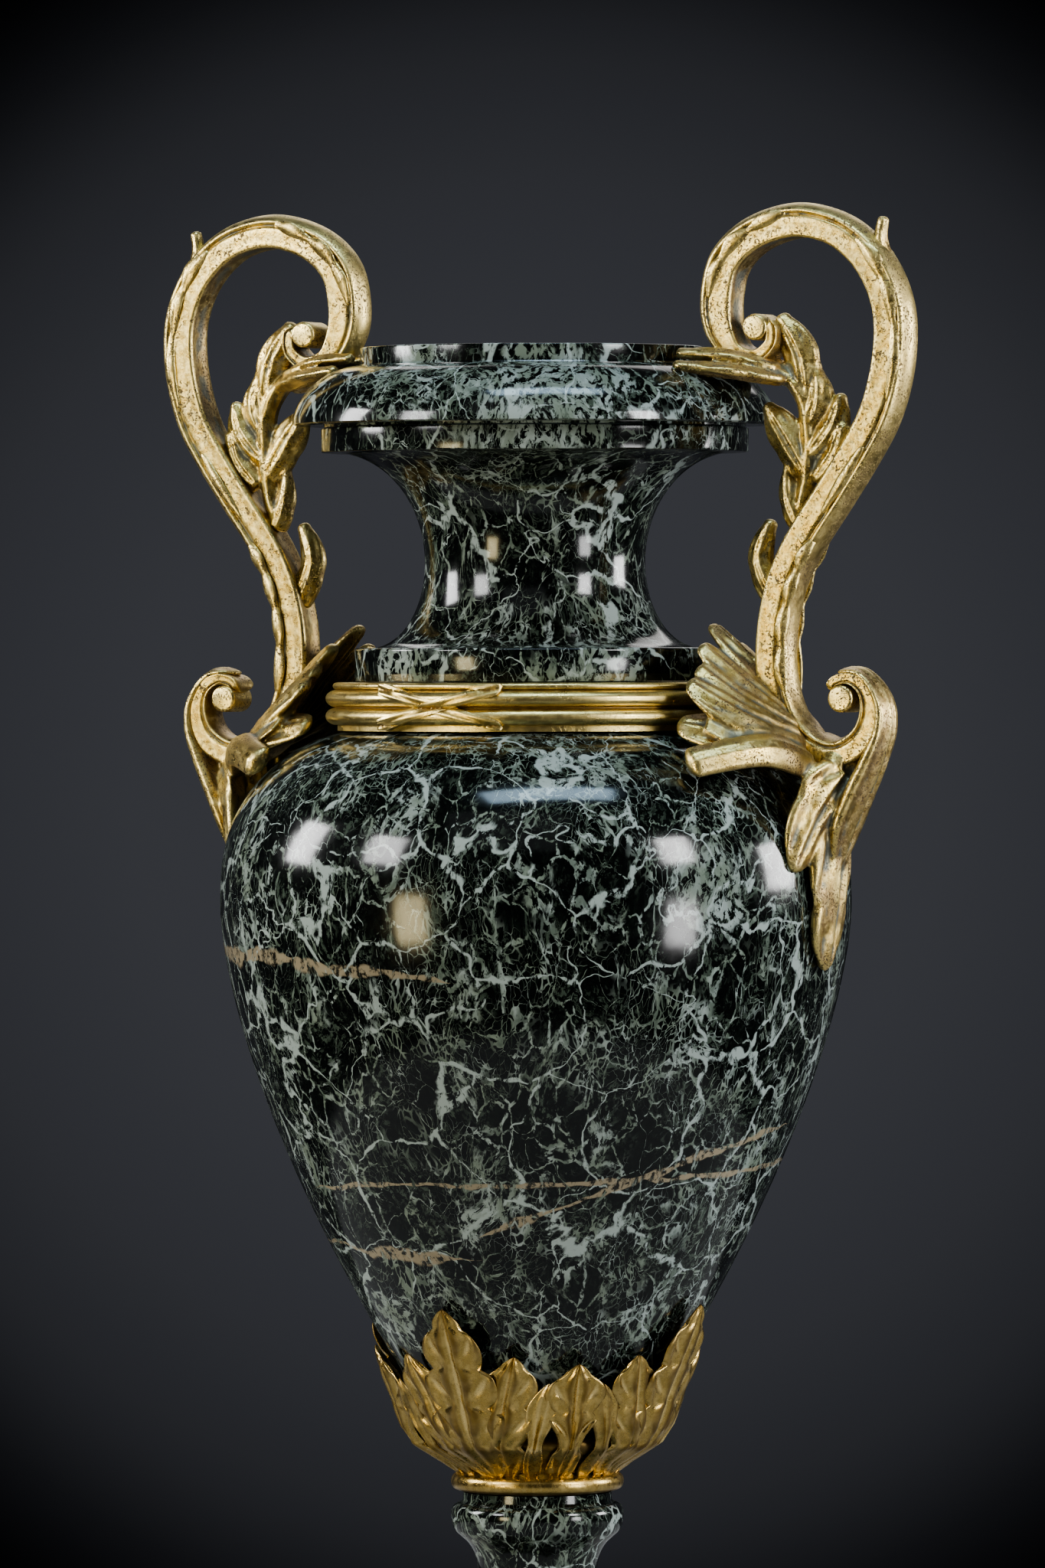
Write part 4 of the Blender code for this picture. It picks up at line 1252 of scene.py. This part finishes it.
@dataclass
class Handle:
    """A cast scroll handle: strap, volutes, carved lobes, sprig, palm and pendant leaf."""

    strap_width: float = 10.4
    upper_eye: Point3 = (68.8, 412.0, 3.6)  # out, up, radius
    lower_eye: Point3 = (94.0, 311.3, 3.7)
    eye_bevel: float = 0.9
    sprig_swell: float = 1.35
    relief: float = 0.0008  # in metres, as the skin's grain
    grain: float = 0.00048
    keep: float = 0.55  # share of the carving's facets that is kept
    volute: tuple = (400.0, 180.0, 11.8, 0.0383)  # first and last degrees, reach, pitch
    volute_depths: tuple = (3.4, 4.0, 4.2, 4.8, 7.0, 9.5)
    line: tuple = (
        (56.2, 420.4, 10.2), (58.8, 430.2, 10.2), (66.8, 437.4, 9.8), (79.0, 440.9, 9.5), (90.6, 438.9, 9.3),
        (99.0, 433.5, 9.6), (104.9, 426.0, 9.9), (108.3, 417.0, 10.2), (108.9, 408.0, 10.3),
        (107.5, 397.7, 10.4), (104.1, 387.2, 10.3), (98.4, 377.3, 10.2), (91.0, 366.3, 10.1),
        (84.6, 357.3, 10.0), (79.9, 349.8, 9.8), (76.5, 342.2, 9.6), (74.3, 333.7, 9.6), (73.4, 325.2, 9.6),
        (73.8, 317.0, 9.7), (75.8, 309.3, 9.5), (79.6, 302.8, 8.9), (85.0, 298.4, 8.3), (90.8, 296.8, 8.1),
    )
    lower_scroll: tuple = (
        (96.2, 298.4, 8.3), (100.4, 302.5, 8.0), (101.9, 308.2, 7.0), (100.5, 313.5, 5.2),
        (96.4, 316.4, 3.8), (92.0, 315.7, 3.5), (90.6, 313.0, 3.2),
    )
    # Section of the strap: shares of half its thickness (inner face -1, outer 1) and of half its width
    section: tuple = (
        (1.0, 0.0), (0.97, 0.34), (0.86, 0.66), (0.72, 0.88), (0.62, 1.0), (0.50, 1.02), (0.42, 0.97),
        (0.36, 0.86), (0.28, 0.86), (0.20, 0.95), (0.05, 0.98), (-0.3, 0.97), (-0.6, 0.98), (-0.80, 1.0),
        (-0.92, 0.97), (-0.99, 0.88), (-0.98, 0.6), (-0.94, 0.3), (-0.93, 0.0),
    )

    def centre_line(self) -> list[tuple[float, float, float, float]]:
        """The strap's centre line as (out, up, thickness, crown), from eye to eye."""
        first, last, reach, pitch = self.volute
        spiral = []
        turns = len(self.volute_depths) - 1
        for i, depth in enumerate(self.volute_depths):
            degrees = first + (last - first) * i / turns
            away = reach - pitch * (degrees - last)
            a = math.radians(degrees)
            spiral.append((self.upper_eye[0] + away * math.cos(a), self.upper_eye[1] + away * math.sin(a),
                           depth, i / turns))
        middle = [(*point, 1.0) for point in self.line]
        scroll = [(*point, 0.4) for point in self.lower_scroll]
        return spiral + middle + scroll

    def strap(self) -> Shape:
        """The strap: crowned outer face, a bead and a groove along each side."""
        line = tuple(self.centre_line())
        ring = list(self.section) + [(n, -s) for n, s in reversed(self.section[1:-1])]
        ring.append(ring[0])

        def place(around: float, along: float) -> Vector:
            """A point of the strap's skin.

            Args:
                around: share round its section.
                along: share from end to end.

            Returns:
                The point.
            """
            out, up, depth, crown = smooth_line(line, along)
            before, after = smooth_line(line, along - 0.006), smooth_line(line, along + 0.006)
            ahead = Vector((after[0] - before[0], after[1] - before[1])).normalized()
            at = around * (len(ring) - 1)
            i = min(int(at), len(ring) - 2)
            n, s = (ring[i][k] + (ring[i + 1][k] - ring[i][k]) * (at - i) for k in (0, 1))
            if n > 0.6:
                n = 0.6 + (n - 0.6) * (0.4 + 0.6 * crown)
            ends = min(1.0, along * 60, (1 - along) * 60) ** 0.5
            deep = n * depth / 2 * ends
            side = s * self.strap_width / 2 * ends
            return Vector((out - ahead.y * deep, side, up + ahead.x * deep)) * MM

        return wrapped(60, 340, place)

    def eye(self, eye: Point3) -> Shape:
        """The round end of a scroll, across the handle, its rims rounded.

        Args:
            eye: (out, up, radius) in the drawing.

        Returns:
            The end.
        """
        out, up, radius = eye
        bm = bmesh.new()
        matrix = Matrix.Translation(Vector((out, 0, up)) * MM) @ Matrix.Rotation(math.pi / 2, 4, "X")
        bmesh.ops.create_cone(
            bm, cap_ends=True, segments=40, radius1=radius * MM, radius2=radius * MM,
            depth=(self.strap_width + self.eye_bevel) * MM, matrix=matrix,
        )
        rims = [edge for edge in bm.edges if len({round(vert.co.y, 5) for vert in edge.verts}) == 1]
        eased(bm, rims, self.eye_bevel * MM, 4)
        return bm

    def palm(self) -> list[Blade]:
        """The palm of leaves that clasps the shoulder and the belt."""
        middle = Blade(((79, 0, 304), (67.5, 0, 317), (53, 0, 331.5)), (6, 8, 7, 3.6), (7, 6.4, 5, 3.2),
                       (0.7, 0, 0.7), 2.0, 0.10, 0.34)
        sides = [
            ((80, 3, 303), (67, 9, 315), (55.5, 12, 326), (5, 7.5, 7.0, 3.6), (0.7, 0.2, 0.7)),
            ((81, 4, 301), (69, 14.5, 310.5), (57.5, 18, 320), (5, 7.5, 7.2, 3.8), (0.7, 0.3, 0.7)),
            ((82, 5, 299), (72, 18, 306), (57.5, 24.5, 316), (5, 8.0, 7.6, 4.0), (0.6, 0.4, 0.7)),
            ((83, 6, 297), (74, 21, 301), (55.5, 27, 304.5), (5, 8.0, 7.2, 4.2), (0.6, 0.5, 0.6)),
        ]
        blades = [Blade((a, b, c), widths, (6.4, 5.8, 4.8, 3.4), facing, 2.0, 0.12, 0.24)
                  for a, b, c, widths, facing in sides]
        blades.append(Blade(((86, 7, 293), (79.5, 23, 297.5), (64.5, 40, 294)), (4.5, 5.6, 5.0, 4.8),
                            (6.4, 7.0, 6.4, 5.6), (0.6, 0.5, 0.6), 1.0, 0.0, 0.08))
        web = Blade(((84, 6, 297), (74, 15, 304), (63, 21, 310)), (8, 14, 12), (4.6, 4.2, 2.6), (0.65, 0.35, 0.7),
                    1.0, 0.0, 0.0)
        return [middle, *both_sides([*blades, web])]

    def pendant(self) -> list[Blade]:
        """The leaf that hangs onto the belly, and the crown leaf on the scroll's back."""
        spine = ((93, 0, 300), (90, 0, 287), (88.6, 0, 274), (88.4, 0, 258), (87.2, 0, 246), (86.8, 0, 237.4))
        crown = ((91, 0, 318.4), (99, 0, 318), (104.5, 0, 311), (105, 0, 303), (101.4, 0, 294), (97, 0, 285),
                 (93, 0, 275), (90, 0, 263))
        lobe = Blade(((93, 2, 292), (88.5, 10, 280), (84.8, 16.5, 264.6)), (6.5, 9.5, 8.0, 2.4), (8, 7, 5, 3),
                     (1, 0.4, 0), 2.0, 0.12, 0.30)
        return [
            Blade(spine, (6, 8, 11, 11, 8, 1.2), (13, 13, 9.5, 7.5, 6, 3.4), (1, 0, 0.1), 3.0, 0.14, 0.32),
            Blade(crown, (4.5, 5.5, 6, 6.5, 7.5, 8.5, 8, 2), (2.6, 3.2, 4, 5, 6.5, 7, 6, 3), (0.9, 0, 0.4), 1.0, 0.0,
                  0.30),
            *both_sides([lobe]),
        ]

    def sprig(self) -> list[Blade]:
        """The sprig that grows from the strap's inner face up to the rim, and the thorn."""
        stem = ((79, 0, 358), (82, 0, 370), (83, 0, 381), (82, 0, 391), (77, 0, 398.5), (66, 0, 402.6), (50, 0, 405))
        blades = (
            (((82.6, 0, 391), (80.6, 0, 404), (74, 0, 415.5)), (2.5, 4.2, 1.6), (6, 7, 5)),
            (((82.5, 0, 384), (85.6, 0, 392), (85.2, 0, 400.5)), (2.5, 3.6, 1.2), (6, 7, 4)),
            (((83, 0, 377), (89.8, 0, 385), (92.6, 0, 394)), (2.5, 3.6, 1), (6, 7, 4)),
            (((84.5, 0, 370), (90.5, 0, 377), (93.5, 0, 386)), (2.5, 3.4, 2), (6, 7, 6)),
            (((82.5, 0, 372), (76, 0, 382.5), (69.8, 0, 391.5)), (2.5, 4.2, 1.2), (6, 7, 4)),
            (((80, 0, 358), (76.8, 0, 366), (76.2, 0, 375)), (2.5, 2.4, 0.8), (6, 6, 3)),
            (((73.5, 0, 337), (68.2, 0, 349), (71.8, 0, 360)), (3, 3, 1.4), (6, 7, 4)),
        )
        on_rim = [
            Blade(((75, 1.5, 400.5), (62, 8, 404), (49, 13.5, 405)), (3.5, 5, 1.8), (4, 4.4, 3), (0.1, 0, 1), 2.5),
            Blade(((77, 2.5, 397.5), (64, 12, 400), (51, 20, 401.6)), (3, 5, 1.8), (4, 4.4, 3), (0.1, 0, 1), 2.5),
        ]
        return [
            Blade(stem, (2.6, 3, 3.4, 3.8, 4.4, 5.5, 2), (5, 5, 5.5, 5.5, 5, 4, 2.4), (0.8, 0, 0.6), 6.0, 0.1, 0.2),
            *(Blade(spine, tuple(self.sprig_swell * width for width in widths), depths, (0, 1, 0), 2.2, 0.12, 0.20)
              for spine, widths, depths in blades),
            *both_sides(on_rim),
            Blade(((106, 0, 428), (104, 0, 435), (105, 0, 441.5)), (2.6, 2.3, 1.6), (5, 4, 3.2), (1, 0, 0), 1.0, 0.0),
        ]

    def lobes(self) -> list[Blade]:
        """Small leaves carved along the strap's outer edges."""
        places = (
            ((67.6, 438.4), (62.4, 435.2), (57.8, 429), 2.3),
            ((61, 433), (56.8, 427), (54.8, 419.5), 2.1),
            ((78, 443.0), (72, 441.0), (66, 437.6), 2.2),
            ((98.5, 436), (104.2, 430), (106.6, 423), 2.4),
            ((105.6, 427), (108.8, 420), (109.6, 411), 2.3),
            ((110, 414), (110.2, 403), (107.6, 391), 1.9),
            ((86, 354.5), (83, 350), (80.6, 344.5), 2.1),
            ((81.6, 347), (79.3, 341.5), (77.6, 335), 2.1),
            ((78.2, 338), (76.8, 331), (76.2, 324), 2.1),
            ((77, 327), (76.4, 319.5), (77.6, 312.5), 2.1),
            ((101, 380), (95, 370.5), (88, 361), 1.8),
        )
        made = []
        for root, middle, tip, width in places:
            spine = tuple((out, side, up) for (out, up), side in zip((root, middle, tip), (4.4, 5.2, 4.6)))
            made.append(Blade(spine, (1.2, width, 0.8), (1.5, 2.0, 1.1), (0.25, 1, 0), 1.2, 0.05, 0.26))
        return both_sides(made)

    def casting(self) -> bpy.types.Mesh:
        """The right handle: its leaves fused as cast, on a strap that keeps its crisp bead and groove."""
        blades = self.palm() + self.pendant() + self.sprig() + self.lobes()
        carving = fused(gathered([blade.shape() for blade in blades], "carving"), self.grain, 2, self.keep)
        leaves = bmesh.new()
        leaves.from_mesh(carving)
        bpy.data.meshes.remove(carving)
        shapes = [self.strap(), self.eye(self.upper_eye), self.eye(self.lower_eye), leaves]
        return gathered(shapes, "scroll_handle")

    def build(self, finishes: Finishes) -> None:
        """Casts one handle and turns a copy of it to the other side.

        Args:
            finishes: the urn's materials.
        """
        right = self.casting()
        mark_relief(right, self.relief)
        left = right.copy()
        left.transform(Matrix.Rotation(math.pi, 4, "Z"))
        for side, mesh in (("right", right), ("left", left)):
            name, node = f"scroll_handle_{side}", f"handle_{side}"
            finish_piece(name, mesh, [node], Slot.GILT, finishes.handles, crease=60)


@dataclass
class Softbox:
    """A soft studio light, aimed at the urn."""

    name: str
    azimuth: float  # degrees round from the camera, positive to its right
    elevation: float
    distance: float
    width: float
    height: float
    power: float
    colour: Colour = (1.0, 1.0, 1.0)


@dataclass
class Studio:
    """Floor, lights and camera."""

    view_turn: float = 26.0  # degrees from the front to the camera
    camera_distance: float = 2.835
    camera_height: float = 0.3266
    camera_aim: tuple = (-0.0036, 0.2879)  # to the right of the axis, and up
    camera_roll: float = -0.143  # degrees
    lens: float = 237.3
    light_aim: float = 0.27
    room: Colour = (0.052, 0.054, 0.062)
    boxes: tuple = (
        Softbox("left_back_box", -96, 19, 1.3, 0.30, 0.44, 10),
        Softbox("left_box", -58, 21, 1.3, 0.31, 0.36, 7),
        Softbox("warm_box", -45, -7, 1.3, 0.25, 0.36, 4.5, (1.0, 0.86, 0.50)),
        Softbox("right_box", 53, 21, 1.3, 0.27, 0.34, 8),
        Softbox("right_low_box", 53, -8, 1.3, 0.27, 0.34, 5),
        Softbox("right_back_box", 98, 9, 1.3, 0.34, 0.36, 9),
        Softbox("top_strip", 10, 71, 1.5, 0.92, 0.30, 11, (0.60, 0.82, 1.0)),
        Softbox("front_fill", -12, 40, 2.2, 1.6, 1.2, 2, (0.92, 0.96, 1.0)),
        Softbox("back_fill", 172, 33, 2.5, 1.6, 1.1, 10, (1.0, 0.98, 0.95)),
    )
    floor_radius: float = 0.42
    backdrop_rise: float = 0.8  # degrees above level, where the backdrop is lightest
    # How the backdrop falls off round there: share of the room's grey at each distance on the unit ball
    backdrop: tuple = ((0.0, 1.0), (0.038, 0.97), (0.058, 0.78), (0.072, 0.55), (0.083, 0.20), (0.093, 0.0),
                       (0.110, 0.0), (0.30, 0.8))
    look: str = "AgX - Medium High Contrast"

    def direction(self, azimuth: float, elevation: float) -> Vector:
        """Unit vector from the urn, at this azimuth from the camera and this elevation."""
        a, e = math.radians(self.view_turn + azimuth), math.radians(elevation)
        return Vector((math.sin(a) * math.cos(e), -math.cos(a) * math.cos(e), math.sin(e)))

    def lights(self) -> None:
        """Hangs the softboxes."""
        for box in self.boxes:
            light = bpy.data.lights.new(box.name, "AREA")
            light.shape = "RECTANGLE"
            light.size, light.size_y = box.width, box.height
            light.energy = box.power
            light.color = box.colour
            hung = bpy.data.objects.new(box.name, light)
            way = self.direction(box.azimuth, box.elevation)
            hung.location = Vector((0, 0, self.light_aim)) + way * box.distance
            hung.rotation_mode = "QUATERNION"
            hung.rotation_quaternion = way.to_track_quat("Z", "Y")
            bpy.context.scene.collection.objects.link(hung)

    def floor(self) -> None:
        """Lays the floor."""
        bm = bmesh.new()
        bmesh.ops.create_circle(bm, cap_ends=True, segments=128, radius=self.floor_radius)
        mesh = to_mesh(bm, "floor")
        if mesh.polygons[0].normal.z < 0:
            mesh.flip_normals()
        mesh.materials.append(FloorFinish().material())
        floor = bpy.data.objects.new("floor", mesh)
        bpy.context.scene.collection.objects.link(floor)

    def camera(self) -> None:
        """Sets the camera at the photograph's view."""
        a = math.radians(self.view_turn)
        right = Vector((math.cos(a), math.sin(a), 0))
        data = bpy.data.cameras.new("camera")
        data.lens = self.lens
        data.sensor_width = 36
        camera = bpy.data.objects.new("camera", data)
        camera.location = self.direction(0, 0) * self.camera_distance + Vector((0, 0, self.camera_height))
        target = right * self.camera_aim[0] + Vector((0, 0, self.camera_aim[1]))
        look = (target - camera.location).to_track_quat("-Z", "Y").to_matrix()
        camera.rotation_euler = (look @ Matrix.Rotation(math.radians(self.camera_roll), 3, "Z")).to_euler()
        bpy.context.scene.collection.objects.link(camera)
        bpy.context.scene.camera = camera

    def surroundings(self) -> None:
        """Fills the room with a dim grey that falls off round the middle of the photographed backdrop."""
        world = bpy.data.worlds.new("studio")
        world.use_nodes = True
        nodes = Nodes(world.node_tree)
        place = nodes.node("ShaderNodeTexCoord").outputs["Generated"]
        away = nodes.vectors("DISTANCE", place, -self.direction(0, self.backdrop_rise))
        ramp = nodes.node("ShaderNodeValToRGB", {0: away})
        ramp.color_ramp.interpolation = "LINEAR"
        while len(ramp.color_ramp.elements) < len(self.backdrop):
            ramp.color_ramp.elements.new(0.5)
        for element, (at, share) in zip(ramp.color_ramp.elements, self.backdrop):
            element.position = at
            element.color = tuple(share * part for part in self.room) + (1.0,)
        background = nodes.tree.nodes["Background"]
        nodes.feed(background.inputs["Color"], ramp.outputs["Color"])
        background.inputs["Strength"].default_value = 1.0
        bpy.context.scene.world = world
        bpy.context.scene.view_settings.look = self.look

    def build(self) -> None:
        """Sets up the whole studio."""
        self.surroundings()
        self.floor()
        self.lights()
        self.camera()


def main() -> None:
    """Builds the studio and each piece, in order from the ground up."""
    logging.basicConfig(level=logging.INFO, format="%(name)s: %(message)s")
    Studio().build()
    finishes = Finishes()
    body = Body()
    for piece in (Plinth(), FootRing(), Stem(), LeafCup(body), body, Belt(), Neck(), Rim(), Handle()):
        piece.build(finishes)


if __name__ == "__main__":
    main()
